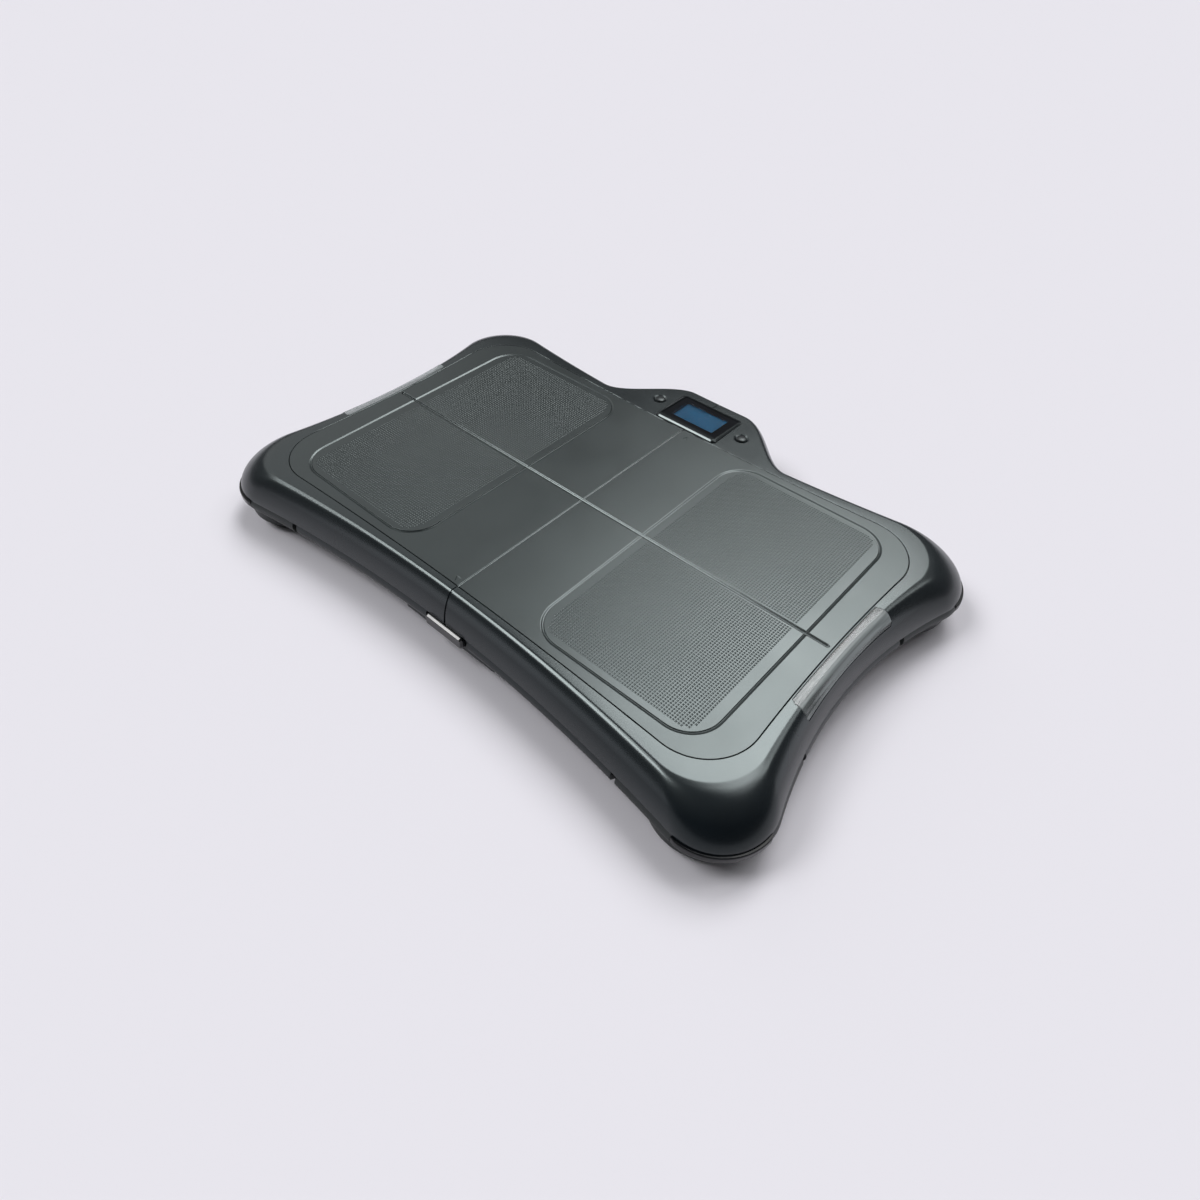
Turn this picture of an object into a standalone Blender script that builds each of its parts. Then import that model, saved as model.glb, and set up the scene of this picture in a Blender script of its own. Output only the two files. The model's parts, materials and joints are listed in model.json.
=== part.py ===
# Balance board controller, in metres, with +Z up and the display side towards +Y.
# The origin is on the floor, under the middle of the outline.
import math
from collections import namedtuple

import bmesh
import bpy
from mathutils import Vector

# General clearances and walls
GAP = 0.0003
WALL = 0.0026

# Heights, from the floor up
BASE_HEIGHT = 0.0120
LOWER_HEIGHT = 0.0153
RIM_HEIGHT = 0.0257
BELLY_DROP = 0.0048
TUCK_DROP = 0.0118
BASE_Z = BASE_HEIGHT
PARTING_Z = BASE_Z + LOWER_HEIGHT
DECK_Z = PARTING_Z + RIM_HEIGHT
BELLY_Z = PARTING_Z - BELLY_DROP
TUCK_Z = PARTING_Z - TUCK_DROP
FLOOR_Z = BASE_Z + WALL

# The board's outline. A bow is how far out a waisted edge has come towards its ends.
SEAM_HALF_DEPTH = 0.12465
SEAM_HALF_WIDTH = 0.21695
SEAM_DEPTH_BOW = 0.0066
SEAM_WIDTH_BOW = 0.0056
SEAM_CORNER = 0.0385
FLAT_FRONT = 0.0050
FLAT_SIDE = 0.0063
SHOULDER_DEPTH_BOW = 0.0161
SHOULDER_WIDTH_BOW = 0.0129
SHOULDER_CORNER = 0.0400
FALL_FRONT = 0.0111
FALL_SIDE = 0.0119
PARTING_DEPTH_BOW = 0.0220
PARTING_WIDTH_BOW = 0.0307
PARTING_CORNER = 0.0385
RIM_POWER = 1.53
BELLY_OUT = 0.0013
TUCK_IN = 0.0025
BASE_IN = 0.0090

# The display's bump at the rear
BUMP_REACH = 0.0468
BUMP_FLAT = 0.0257
BUMP_END = 0.0954
BUMP_SPREAD = 0.0046

# Points along the outline
SIDE_STEPS = 5
ARC_STEPS = 7
FRONT_STEPS = 7
PLAIN_STEPS = 4
BUMP_STEPS = 12
RIM_STEPS = 5

# Deck panel and its grooves
PANEL_THICK = 0.0030
PANEL_CHAMFER = 0.0004
LEDGE_WIDTH = 0.0100
LEDGE_THICK = 0.0026
STEP_WIDTH = 0.0026
GROOVE_DEPTH = 0.0009
LONG_GROOVE_SETBACK = 0.0020
LONG_GROOVE_WIDTH = 0.0022
CENTRE_GROOVE_WIDTH = 0.0012
PAD_INNER = 0.0596
PAD_SIDE_SETBACK = 0.0199
PAD_DEPTH_SETBACK = 0.0070
PAD_CORNER = 0.0240
PAD_GROOVE_WIDTH = 0.0024

# Steel plate under the panel
PLATE_THICK = 0.0015
PLATE_SIDE_SETBACK = 0.0170
PLATE_DEPTH_SETBACK = 0.0012
PLATE_CORNER = 0.0200
PLATE_NOTCH = 0.0055

# Load cells
CELL_WIDTH = 0.0127
CELL_HEIGHT = 0.0100
CELL_SPAN = 0.0560
CELL_END = 0.0085
CELL_PAD = 0.0015
CELL_PAD_LENGTH = 0.0150

# Feet
FOOT_GAP = 0.0044
FOOT_REACH_X = 0.0457
FOOT_REACH_Y = 0.0514
FOOT_CHAMFER_X = 0.0190
FOOT_CHAMFER_Y = 0.0300
FOOT_SHIFT_X = 0.0048
FOOT_SHIFT_Y = 0.0034
CUP_RADIUS = 0.0400
CUP_FOOT_RADIUS = 0.0360
CUP_HEIGHT = 0.0085
RUBBER_HEIGHT = 0.0047
RUBBER_RADIUS = 0.0335
RUBBER_HOLE = 0.0080
BOSS_RADIUS = 0.0085
SLOT_DEPTH = 0.0150

# Corner bumpers
BUMPER_OUT = 0.0020
BUMPER_HEIGHT = 0.0060
BUMPER_THICK = 0.0026
BUMPER_EDGE = 0.0008
BUMPER_STEPS = 12
FOOT_STEPS = 4
BUMPER_START_TURN = math.radians(-2.0)
BUMPER_END_TURN = math.radians(94.6)

# Side lenses and light strips
LENS_HALF_LENGTH = 0.0535
LENS_START = 0.0017
LENS_END_TURN = math.radians(42.0)
STRIP_HALF_LENGTH = 0.0480
STRIP_WIDTH = 0.0032
STRIP_THICK = 0.0015
STRIP_DROP = 0.0045

# Display, its frame and keys
DISPLAY_HALF_WIDTH = 0.0310
DISPLAY_DEPTH = 0.0427
DISPLAY_SETBACK = 0.0012
DISPLAY_CORNER = 0.0040
DISPLAY_FRONT_RISE = 0.0022
DISPLAY_REAR_RISE = 0.0003
WINDOW_HALF_WIDTH = 0.0273
WINDOW_FRONT_BORDER = 0.0057
WINDOW_REAR_BORDER = 0.0019
WINDOW_LIP = 0.0014
WINDOW_THICK = 0.0014
WINDOW_SINK = 0.0004
GLASS_THICK = 0.0049
DISPLAY_BOARD_HALF = 0.0500
DISPLAY_BOARD_DEPTH = 0.0250
BOARD_THICK = 0.0016
KEY_X = 0.0434
KEY_SETBACK = 0.0239
KEY_RADIUS = 0.0044
KEY_RISE = 0.0010
KEY_FLANGE = 0.0012
KEY_FLANGE_THICK = 0.0012
KEY_TRAVEL = 0.0008
KEY_SWITCH_SIZE = 0.0060

# Power button
BUTTON_HALF_WIDTH = 0.0188
BUTTON_HEIGHT = 0.0097
BUTTON_OUT = 0.0016
BUTTON_TOP_DROP = 0.0008
BUTTON_TRAVEL = 0.0012
BUTTON_WALL = 0.0046
BUTTON_LIP = 0.0019
BUTTON_LIP_THICK = 0.0015
BUTTON_RECESS = 0.0022
BUTTON_RECESS_DEPTH = 0.0024
SLOT_MARGIN = 0.0005
POWER_SWITCH_WIDTH = 0.0120
POWER_SWITCH_DEPTH = 0.0070
POWER_SWITCH_HEIGHT = 0.0100

# Main circuit board
BOARD_HALF_WIDTH = 0.0500
BOARD_DEPTH = 0.0600
BOARD_LIFT = 0.0017
POST_RADIUS = 0.0035
POST_X = 0.0355
POST_INSET = 0.0060

# Battery compartment, in the pod under the middle of the board
POD_HALF_WIDTH = 0.0500
POD_DROP = 0.0060
POD_FRONT_IN = 0.0012
POD_SLOPE = 0.0060
BATTERY_RADIUS = 0.00725
BATTERY_LENGTH = 0.0505
BATTERY_PITCH = 0.0152
BATTERY_COUNT = 4
CONTACT_THICK = 0.0008
CONTACT_HEIGHT = 0.0120
BATTERY_ROOM = 0.0015
COVER_THICK = 0.0020
COVER_LIP = 0.0020
COVER_LEDGE = 0.0043
BLOCK_WALL = 0.0026

# Sync button
SYNC_SETBACK = 0.0800
SYNC_RADIUS = 0.0030
SYNC_FLANGE = 0.0042
SYNC_FLANGE_THICK = 0.0010
SYNC_SINK = 0.0006
SYNC_STEM = 0.0020
SYNC_TRAVEL = 0.0008
SYNC_SWITCH_SIZE = 0.0060
SYNC_SWITCH_THICK = 0.0015

# Shell screws
SCREW_RADIUS = 0.0015
SCREW_HEAD = 0.0034
SCREW_HEAD_THICK = 0.0020
SCREW_LENGTH = 0.0120
SCREW_CLEARANCE = 0.0004
TUBE_HEIGHT = 0.0117
TUBE_SEAT = 0.0040
TUBE_WALL = 0.0016
TOP_BOSS_RADIUS = 0.0040
LONG_SIDE_SCREW_X = 0.0950
BUMP_SCREW_X = 0.0640
BUMP_SCREW_OUT = 0.0175
SCREW_IN = 0.0050

# Load cell and foot screws
BOLT_RADIUS = 0.0020
BOLT_HEAD = 0.0038
BOLT_HEAD_THICK = 0.0025
BOLT_CLEARANCE = 0.0004

# Heights that follow from the stack inside
LEDGE_Z = DECK_Z - PANEL_THICK - GAP
LEDGE_UNDER_Z = LEDGE_Z - LEDGE_THICK
RIM_UNDER_Z = DECK_Z - WALL
CORE_Z = LEDGE_UNDER_Z
PLATE_TOP_Z = CORE_Z - GAP
PLATE_UNDER_Z = PLATE_TOP_Z - PLATE_THICK
CELL_TOP_Z = PLATE_UNDER_Z - GAP - CELL_PAD
CELL_UNDER_Z = CELL_TOP_Z - CELL_HEIGHT
FOOT_BOSS_Z = CELL_UNDER_Z - CELL_PAD - GAP
CUP_Z = RUBBER_HEIGHT + GAP
POD_Z = BASE_Z - POD_DROP
POD_FLOOR_Z = POD_Z + WALL
COVER_TOP_Z = POD_Z + COVER_THICK
BATTERY_Z = COVER_TOP_Z + GAP + BATTERY_RADIUS
BATTERY_TOP_Z = BATTERY_Z + BATTERY_RADIUS + BATTERY_ROOM
BOARD_UNDER_Z = PARTING_Z + BOARD_LIFT
TUBE_TOP_Z = BASE_Z + TUBE_HEIGHT
TUBE_SEAT_Z = TUBE_TOP_Z - TUBE_SEAT

Edge = namedtuple("Edge", "depth depth_bow width width_bow corner bump flat end")

SEAM = Edge(SEAM_HALF_DEPTH, SEAM_DEPTH_BOW, SEAM_HALF_WIDTH, SEAM_WIDTH_BOW,
            SEAM_CORNER, 0.0, BUMP_FLAT, BUMP_END)
SHOULDER = Edge(SEAM.depth + FLAT_FRONT, SHOULDER_DEPTH_BOW, SEAM.width + FLAT_SIDE,
                SHOULDER_WIDTH_BOW, SHOULDER_CORNER, BUMP_REACH, BUMP_FLAT, BUMP_END)
PARTING = Edge(SHOULDER.depth + FALL_FRONT, PARTING_DEPTH_BOW, SHOULDER.width + FALL_SIDE,
               PARTING_WIDTH_BOW, PARTING_CORNER, BUMP_REACH, BUMP_FLAT + BUMP_SPREAD,
               BUMP_END + BUMP_SPREAD)


# Outlines

def bump(edge, x):
    """How far the rear edge stands out behind the display, at x."""
    share = (abs(x) - edge.flat) / (edge.end - edge.flat)
    share = min(max(share, 0.0), 1.0)
    return edge.bump * (1.0 - share * share * (3.0 - 2.0 * share))


def long_side(edge, x):
    """Distance of the front edge from the middle line, at x."""
    return edge.depth + edge.depth_bow * (x / edge.width) ** 2


def short_side(edge, y):
    """Distance of a side edge from the middle line, at y."""
    return edge.width + edge.width_bow * (y / edge.depth) ** 2


def long_slope(edge, x):
    """How fast the front edge moves out with x."""
    return 2.0 * edge.depth_bow * x / edge.width ** 2


def short_slope(edge, y):
    """How fast a side edge moves out with y."""
    return 2.0 * edge.width_bow * y / edge.depth ** 2


def corner_fit(edge):
    """The corner arc's centre, and where it meets the long and the short side."""
    x = edge.width - edge.corner
    y = edge.depth - edge.corner
    for _ in range(60):
        long_norm = math.hypot(1.0, long_slope(edge, x))
        short_norm = math.hypot(1.0, short_slope(edge, y))
        centre_x = short_side(edge, y) - edge.corner / short_norm
        centre_y = long_side(edge, x) - edge.corner / long_norm
        x = centre_x - edge.corner * long_slope(edge, x) / long_norm
        y = centre_y - edge.corner * short_slope(edge, y) / short_norm
    return Vector((centre_x, centre_y)), x, y


def arc_points(edge):
    """Points of one corner arc, from the short side to the long side."""
    centre, x, y = corner_fit(edge)
    start = -math.atan(short_slope(edge, y))
    end = math.pi / 2.0 + math.atan(long_slope(edge, x))
    turns = [start + (end - start) * k / ARC_STEPS for k in range(ARC_STEPS + 1)]
    return [centre + edge.corner * Vector((math.cos(a), math.sin(a))) for a in turns]


def long_stops(edge, x_touch, with_bump):
    """The x of each point of a long side, from its corner to its middle."""
    if with_bump:
        spans = ((x_touch, edge.end, PLAIN_STEPS), (edge.end, edge.flat, BUMP_STEPS),
                 (edge.flat, 0.0, 1))
    else:
        spans = ((x_touch, 0.0, FRONT_STEPS),)
    return [a + (b - a) * k / steps for a, b, steps in spans for k in range(1, steps + 1)]


def quarter(edge, with_bump):
    """One quarter of the outline, from the side's middle to the long side's middle."""
    _, x_touch, y_touch = corner_fit(edge)
    points = []
    for k in range(SIDE_STEPS):
        y = y_touch * k / SIDE_STEPS
        points.append(Vector((short_side(edge, y), y)))
    points += arc_points(edge)
    for x in long_stops(edge, x_touch, with_bump):
        rise = bump(edge, x) if with_bump else 0.0
        points.append(Vector((x, long_side(edge, x) + rise)))
    return points


def outline(edge):
    """The whole outline, anticlockwise from the middle of the right side."""
    rear = quarter(edge, True)
    front = quarter(edge, False)
    points = list(rear)
    points += [Vector((-p.x, p.y)) for p in reversed(rear[:-1])]
    points += [Vector((-p.x, -p.y)) for p in front[1:]]
    points += [Vector((p.x, -p.y)) for p in reversed(front[1:-1])]
    return points


def grow(points, distance):
    """The closed outline moved out by a distance, or in by a negative one."""
    moved = []
    for i, point in enumerate(points):
        along = points[(i + 1) % len(points)] - points[i - 1]
        outward = Vector((along.y, -along.x)).normalized()
        moved.append(point + distance * outward)
    return moved


def blend(first, second, share):
    """Points that lie a share of the way from one outline to the other."""
    return [a.lerp(b, share) for a, b in zip(first, second)]


def level(points, z):
    """An outline at one height."""
    return [Vector((p.x, p.y, z)) for p in points]


def rim_shares(turn):
    """How far out and how far down the rounded rim is, as shares, at a turn from 0 to 90 degrees."""
    out = math.sin(turn) ** (2.0 / RIM_POWER)
    down = 1.0 - max(math.cos(turn), 0.0) ** (2.0 / RIM_POWER)
    return out, down


def rounded_rectangle(low, high, radius, steps=4):
    """A rectangle with round corners, anticlockwise."""
    points = []
    for cx, cy, first in ((high[0], high[1], 0), (low[0], high[1], 1),
                          (low[0], low[1], 2), (high[0], low[1], 3)):
        inner_x = cx - math.copysign(radius, cx - (low[0] + high[0]) / 2.0)
        inner_y = cy - math.copysign(radius, cy - (low[1] + high[1]) / 2.0)
        for k in range(steps + 1):
            turn = math.pi / 2.0 * (first + k / steps)
            points.append(Vector((inner_x + radius * math.cos(turn),
                                  inner_y + radius * math.sin(turn))))
    return points


def circle(radius, x=0.0, y=0.0, steps=16):
    """A circle of points, anticlockwise."""
    turns = [2.0 * math.pi * k / steps for k in range(steps)]
    return [Vector((x + radius * math.cos(a), y + radius * math.sin(a))) for a in turns]


# Meshes

def add_rings(bm, rings, closed):
    """Joins rings of points by quads, with end faces unless the rings close on themselves."""
    rows = [[bm.verts.new(p) for p in ring] for ring in rings]
    pairs = list(zip(rows, rows[1:]))
    if closed:
        pairs.append((rows[-1], rows[0]))
    for lower, upper in pairs:
        for i in range(len(lower)):
            j = (i + 1) % len(lower)
            bm.faces.new((lower[i], lower[j], upper[j], upper[i]))
    if not closed:
        bm.faces.new(list(reversed(rows[0])))
        bm.faces.new(rows[-1])


def loft(rings, closed=False):
    """A solid through rings of points."""
    bm = bmesh.new()
    add_rings(bm, rings, closed)
    return bm


def prism(points, low, high):
    """An outline raised from one height to another."""
    return loft([level(points, low), level(points, high)])


def box(low, high):
    """A box between two corners."""
    corners = [Vector((low[0], low[1])), Vector((high[0], low[1])),
               Vector((high[0], high[1])), Vector((low[0], high[1]))]
    return prism(corners, low[2], high[2])


def turned(profile, x=0.0, y=0.0, steps=16):
    """A solid of revolution about a vertical axis, from (radius, height) pairs, bottom to top."""
    return loft([level(circle(r, x, y, steps), z) for r, z in profile])


def tube(outer, inner, low, high, x=0.0, y=0.0, steps=24):
    """A washer or a tube about a vertical axis."""
    rings = [level(circle(r, x, y, steps), z) for r, z in
             ((outer, low), (outer, high), (inner, high), (inner, low))]
    return loft(rings, closed=True)


def together(meshes):
    """Several bodies that don't touch, in one mesh, for a cutter."""
    merged = bmesh.new()
    for part in meshes:
        scratch = bpy.data.meshes.new("scratch")
        part.to_mesh(scratch)
        merged.from_mesh(scratch)
        bpy.data.meshes.remove(scratch)
        part.free()
    return merged


# Objects and materials

def material(name, colour, roughness, metallic=0.0):
    """A plain Principled material."""
    made = bpy.data.materials.new(name)
    made.use_nodes = True
    shader = made.node_tree.nodes["Principled BSDF"]
    shader.inputs["Base Color"].default_value = (*colour, 1.0)
    shader.inputs["Roughness"].default_value = roughness
    shader.inputs["Metallic"].default_value = metallic
    return made


def new_object(name, bm, origin):
    """Turns a mesh into an object whose origin is where it is said to be."""
    bmesh.ops.recalc_face_normals(bm, faces=bm.faces)
    bmesh.ops.translate(bm, verts=bm.verts, vec=-Vector(origin))
    mesh = bpy.data.meshes.new(name)
    bm.to_mesh(mesh)
    bm.free()
    made = bpy.data.objects.new(name, mesh)
    made.location = origin
    made.parent = ROOT
    bpy.context.scene.collection.objects.link(made)
    return made


def node(name, bm, look, origin=(0.0, 0.0, 0.0), smooth=False):
    """A named piece of the board."""
    made = new_object(name, bm, origin)
    made.data.materials.append(look)
    if smooth:
        made.data.shade_smooth()
        made.data.set_sharp_from_angle(angle=math.radians(35.0))
    return made


def change(piece, bm, name, operation):
    """Cuts a shape out of a piece, or joins it on."""
    tool = new_object(name, bm, (0.0, 0.0, 0.0))
    tool.hide_render = True
    tool.display_type = "WIRE"
    made = piece.modifiers.new(name, "BOOLEAN")
    made.object = tool
    made.operation = operation
    made.solver = "EXACT"


def cut(piece, bm, name):
    """Cuts a shape out of a piece."""
    change(piece, bm, "cut_" + name, "DIFFERENCE")


def join(piece, bm, name):
    """Joins a shape onto a piece."""
    change(piece, bm, "join_" + name, "UNION")


# Places shared by several pieces

def display_front():
    """The y of the display frame's front edge."""
    return SEAM.depth + DISPLAY_SETBACK


def key_places():
    """The two keys' places, left then right."""
    y = SEAM.depth + KEY_SETBACK
    return (("left", -KEY_X, y), ("right", KEY_X, y))


def corner_signs():
    """Names and signs of the four corners."""
    return (("front_left", -1, -1), ("front_right", 1, -1),
            ("rear_left", -1, 1), ("rear_right", 1, 1))


def foot_centre(sign_x, sign_y):
    """The middle of one foot."""
    centre, _, _ = corner_fit(PARTING)
    return sign_x * (centre.x - FOOT_SHIFT_X), sign_y * (centre.y - FOOT_SHIFT_Y)


def foot_cuts():
    """The x and the y at which a corner foot's two straight inner sides run."""
    x, y = foot_centre(1, 1)
    return x - FOOT_REACH_X, y - FOOT_REACH_Y


def cell_inner_x(sign_x):
    """The x of a load cell's fixed screw."""
    return foot_centre(sign_x, 1)[0] - sign_x * CELL_SPAN


def shell_screw_places():
    """Where the screws join the two shells."""
    long_y = long_side(SEAM, LONG_SIDE_SCREW_X) - SCREW_IN
    side_x = SEAM.width - SCREW_IN
    bump_y = SEAM.depth + BUMP_SCREW_OUT
    return ((-LONG_SIDE_SCREW_X, -long_y), (LONG_SIDE_SCREW_X, -long_y),
            (-LONG_SIDE_SCREW_X, long_y), (LONG_SIDE_SCREW_X, long_y),
            (-side_x, 0.0), (side_x, 0.0),
            (-BUMP_SCREW_X, bump_y), (BUMP_SCREW_X, bump_y))


def board_front():
    """The y of the main circuit board's front edge."""
    return -PARTING.depth + BUTTON_WALL + BUTTON_LIP_THICK + BUTTON_TRAVEL + 2.0 * GAP


def post_places():
    """Where posts carry the main circuit board."""
    x = POST_X
    front = board_front() + POST_INSET
    rear = board_front() + BOARD_DEPTH - POST_INSET
    return ((-x, front), (x, front), (-x, rear), (x, rear))


def battery_half_width():
    """Half the width of the row of cells."""
    return (BATTERY_COUNT - 1) * BATTERY_PITCH / 2.0 + BATTERY_RADIUS


def compartment():
    """Half the width and half the depth of the battery compartment."""
    half_width = battery_half_width() + BATTERY_ROOM
    half_depth = BATTERY_LENGTH / 2.0 + CONTACT_THICK + 2.0 * GAP
    return half_width, half_depth


def cover_half():
    """Half the width of the battery cover, and its front and rear ends."""
    half_width, half_depth = compartment()
    half_depth += COVER_LEDGE
    return half_width + COVER_LEDGE, -half_depth, half_depth + BLOCK_WALL


# Pieces of the shell

def make_top_shell():
    """The upper shell: rounded rim, display bump, panel ledge and screw bosses."""
    seam = grow(outline(SEAM), GAP)
    shoulder = outline(SHOULDER)
    parting = outline(PARTING)
    outer = []
    for k in range(RIM_STEPS + 1):
        out, down = rim_shares(math.pi / 2.0 * k / RIM_STEPS)
        outer.append((blend(shoulder, parting, out), DECK_Z - RIM_HEIGHT * down))
    rings = [level(seam, DECK_Z)]
    rings += [level(points, z) for points, z in outer]
    inner = [(grow(points, -WALL), z) for points, z in outer[2:]]
    rings += [level(points, z) for points, z in reversed(inner)]
    rings.append(level(grow(shoulder, -GAP), RIM_UNDER_Z))
    step = grow(seam, STEP_WIDTH)
    rings.append(level(step, RIM_UNDER_Z))
    rings.append(level(step, LEDGE_UNDER_Z))
    ledge = grow(seam, -LEDGE_WIDTH)
    rings.append(level(ledge, LEDGE_UNDER_Z))
    rings.append(level(ledge, LEDGE_Z))
    rings.append(level(seam, LEDGE_Z))
    shell = node("top_shell", loft(rings, closed=True), PLASTIC, smooth=True)

    bosses = []
    hole = SCREW_RADIUS + SCREW_CLEARANCE
    for x, y in shell_screw_places():
        top = RIM_UNDER_Z if y == shell_screw_places()[-1][1] else LEDGE_UNDER_Z
        top += WALL / 2.0
        low = TUBE_TOP_Z + GAP
        depth = low + SCREW_LENGTH
        rings = [level(circle(r, x, y), z) for r, z in
                 ((hole, depth), (hole, low), (TOP_BOSS_RADIUS, low), (TOP_BOSS_RADIUS, top))]
        bosses.append(loft(rings))
    join(shell, together(bosses), "shell_bosses")

    half = DISPLAY_HALF_WIDTH + GAP + WALL
    rear = display_front() + DISPLAY_DEPTH + GAP + WALL
    join(shell, box((-half, SEAM.depth + GAP + STEP_WIDTH / 2.0, glass_low_z()),
                    (half, rear, DECK_Z - WALL / 2.0)), "display_tray")
    cut(shell, prism(display_plan(GAP), LEDGE_Z, DECK_Z + WALL), "display_opening")
    cut(shell, glass_room(), "display_well")
    holes = [turned(((KEY_RADIUS + GAP, RIM_UNDER_Z - WALL), (KEY_RADIUS + GAP, DECK_Z + WALL)), x, y)
             for _, x, y in key_places()]
    cut(shell, together(holes), "key_holes")
    windows = [rim_patch(side, GAP, WALL / 2.0, WALL + GAP) for side in (-1, 1)]
    cut(shell, together(windows), "lens_windows")
    cut(shell, front_groove(), "front_groove")
    return shell


def front_groove():
    """The cutter for the groove that runs down the middle of the front wall."""
    half = CENTRE_GROOVE_WIDTH / 2.0
    path = []
    for k in range(RIM_STEPS + 1):
        out, down = rim_shares(math.pi / 2.0 * k / RIM_STEPS)
        y = -(SHOULDER.depth + out * (PARTING.depth - SHOULDER.depth))
        path.append(Vector((y, DECK_Z - RIM_HEIGHT * down)))
    path.insert(0, Vector((-SEAM.depth + WALL, DECK_Z)))
    path.append(path[-1] - Vector((0.0, WALL)))
    middle = Vector((0.0, PARTING_Z))
    deep = [p + (middle - p).normalized() * GROOVE_DEPTH for p in path]
    high = [p - (middle - p).normalized() * GROOVE_DEPTH for p in path]
    section = deep + list(reversed(high))
    return loft([[Vector((x, p.x, p.y)) for p in section] for x in (-half, half)])


def rim_patch(side, margin, proud, depth):
    """A strip of the rounded rim at one side, a margin larger than the lens all round."""
    half_length = LENS_HALF_LENGTH + margin
    end_turn = LENS_END_TURN + 1.5 * margin / RIM_HEIGHT
    stations = 8
    turns = 4
    rings = []
    for i in range(stations + 1):
        y = half_length * (2.0 * i / stations - 1.0)
        seam_x = short_side(SEAM, y)
        shoulder_x = short_side(SHOULDER, y)
        parting_x = short_side(PARTING, y)
        face = [Vector((seam_x + LENS_START - margin, DECK_Z))]
        for k in range(turns + 1):
            out, down = rim_shares(end_turn * k / turns)
            face.append(Vector((shoulder_x + out * (parting_x - shoulder_x),
                                DECK_Z - RIM_HEIGHT * down)))
        outward = []
        for k in range(len(face)):
            along = face[min(k + 1, len(face) - 1)] - face[max(k - 1, 0)]
            outward.append(Vector((-along.y, along.x)).normalized())
        top = [p + proud * n for p, n in zip(face, outward)]
        low = [p - depth * n for p, n in zip(face, outward)]
        section = top + list(reversed(low))
        rings.append([Vector((side * p.x, y, p.y)) for p in section])
    return loft(rings)


def make_deck_panel():
    """The panel that is stood on, with its grooves."""
    edge = outline(SEAM)
    core = grow(edge, -LEDGE_WIDTH - GAP)
    rings = [level(core, CORE_Z), level(core, LEDGE_Z + GAP), level(edge, LEDGE_Z + GAP),
             level(edge, DECK_Z - PANEL_CHAMFER), level(grow(edge, -PANEL_CHAMFER), DECK_Z)]
    panel = node("deck_panel", loft(rings), DECK)
    low = DECK_Z - GROOVE_DEPTH
    high = DECK_Z + WALL
    half = LONG_GROOVE_WIDTH / 2.0
    reach = SEAM.width - LONG_GROOVE_SETBACK
    slot = rounded_rectangle((-reach, -half), (reach, half), half)
    cut(panel, prism(slot, low, high), "long_groove")
    half = CENTRE_GROOVE_WIDTH / 2.0
    reach = SEAM.depth + WALL
    cut(panel, box((-half, -reach, low), (half, reach, high)), "centre_groove")
    rings_of_both = []
    outer = SEAM.width - PAD_SIDE_SETBACK
    pad_y = SEAM.depth - PAD_DEPTH_SETBACK
    for low_x, high_x in ((-outer, -PAD_INNER), (PAD_INNER, outer)):
        middle = rounded_rectangle((low_x, -pad_y), (high_x, pad_y), PAD_CORNER)
        wide = grow(middle, PAD_GROOVE_WIDTH / 2.0)
        narrow = grow(middle, -PAD_GROOVE_WIDTH / 2.0)
        rings_of_both.append(loft([level(wide, low), level(wide, high),
                                   level(narrow, high), level(narrow, low)], closed=True))
    cut(panel, together(rings_of_both), "pad_grooves")
    return panel


def make_support_plate():
    """The steel plate that carries the panel and takes the load cells."""
    half = (SEAM.width - PLATE_SIDE_SETBACK, SEAM.depth - PLATE_DEPTH_SETBACK)
    points = rounded_rectangle((-half[0], -half[1]), half, PLATE_CORNER)
    plate = node("support_plate", prism(points, PLATE_UNDER_Z, PLATE_TOP_Z), STEEL)
    holes = []
    for _, sign_x, sign_y in corner_signs():
        holes.append(bore(BOLT_RADIUS + BOLT_CLEARANCE, PLATE_UNDER_Z, PLATE_TOP_Z,
                          cell_inner_x(sign_x), foot_centre(sign_x, sign_y)[1]))
    cut(plate, together(holes), "cell_screw_holes")
    notches = [bore(PLATE_NOTCH, PLATE_UNDER_Z, PLATE_TOP_Z, x, y)
               for x, y in shell_screw_places() if abs(x) == LONG_SIDE_SCREW_X]
    cut(plate, together(notches), "boss_notches")
    return plate


def bore(radius, low, high, x, y):
    """A round cutter through everything between two heights."""
    return turned(((radius, low - WALL), (radius, high + WALL)), x, y, 12)


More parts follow.
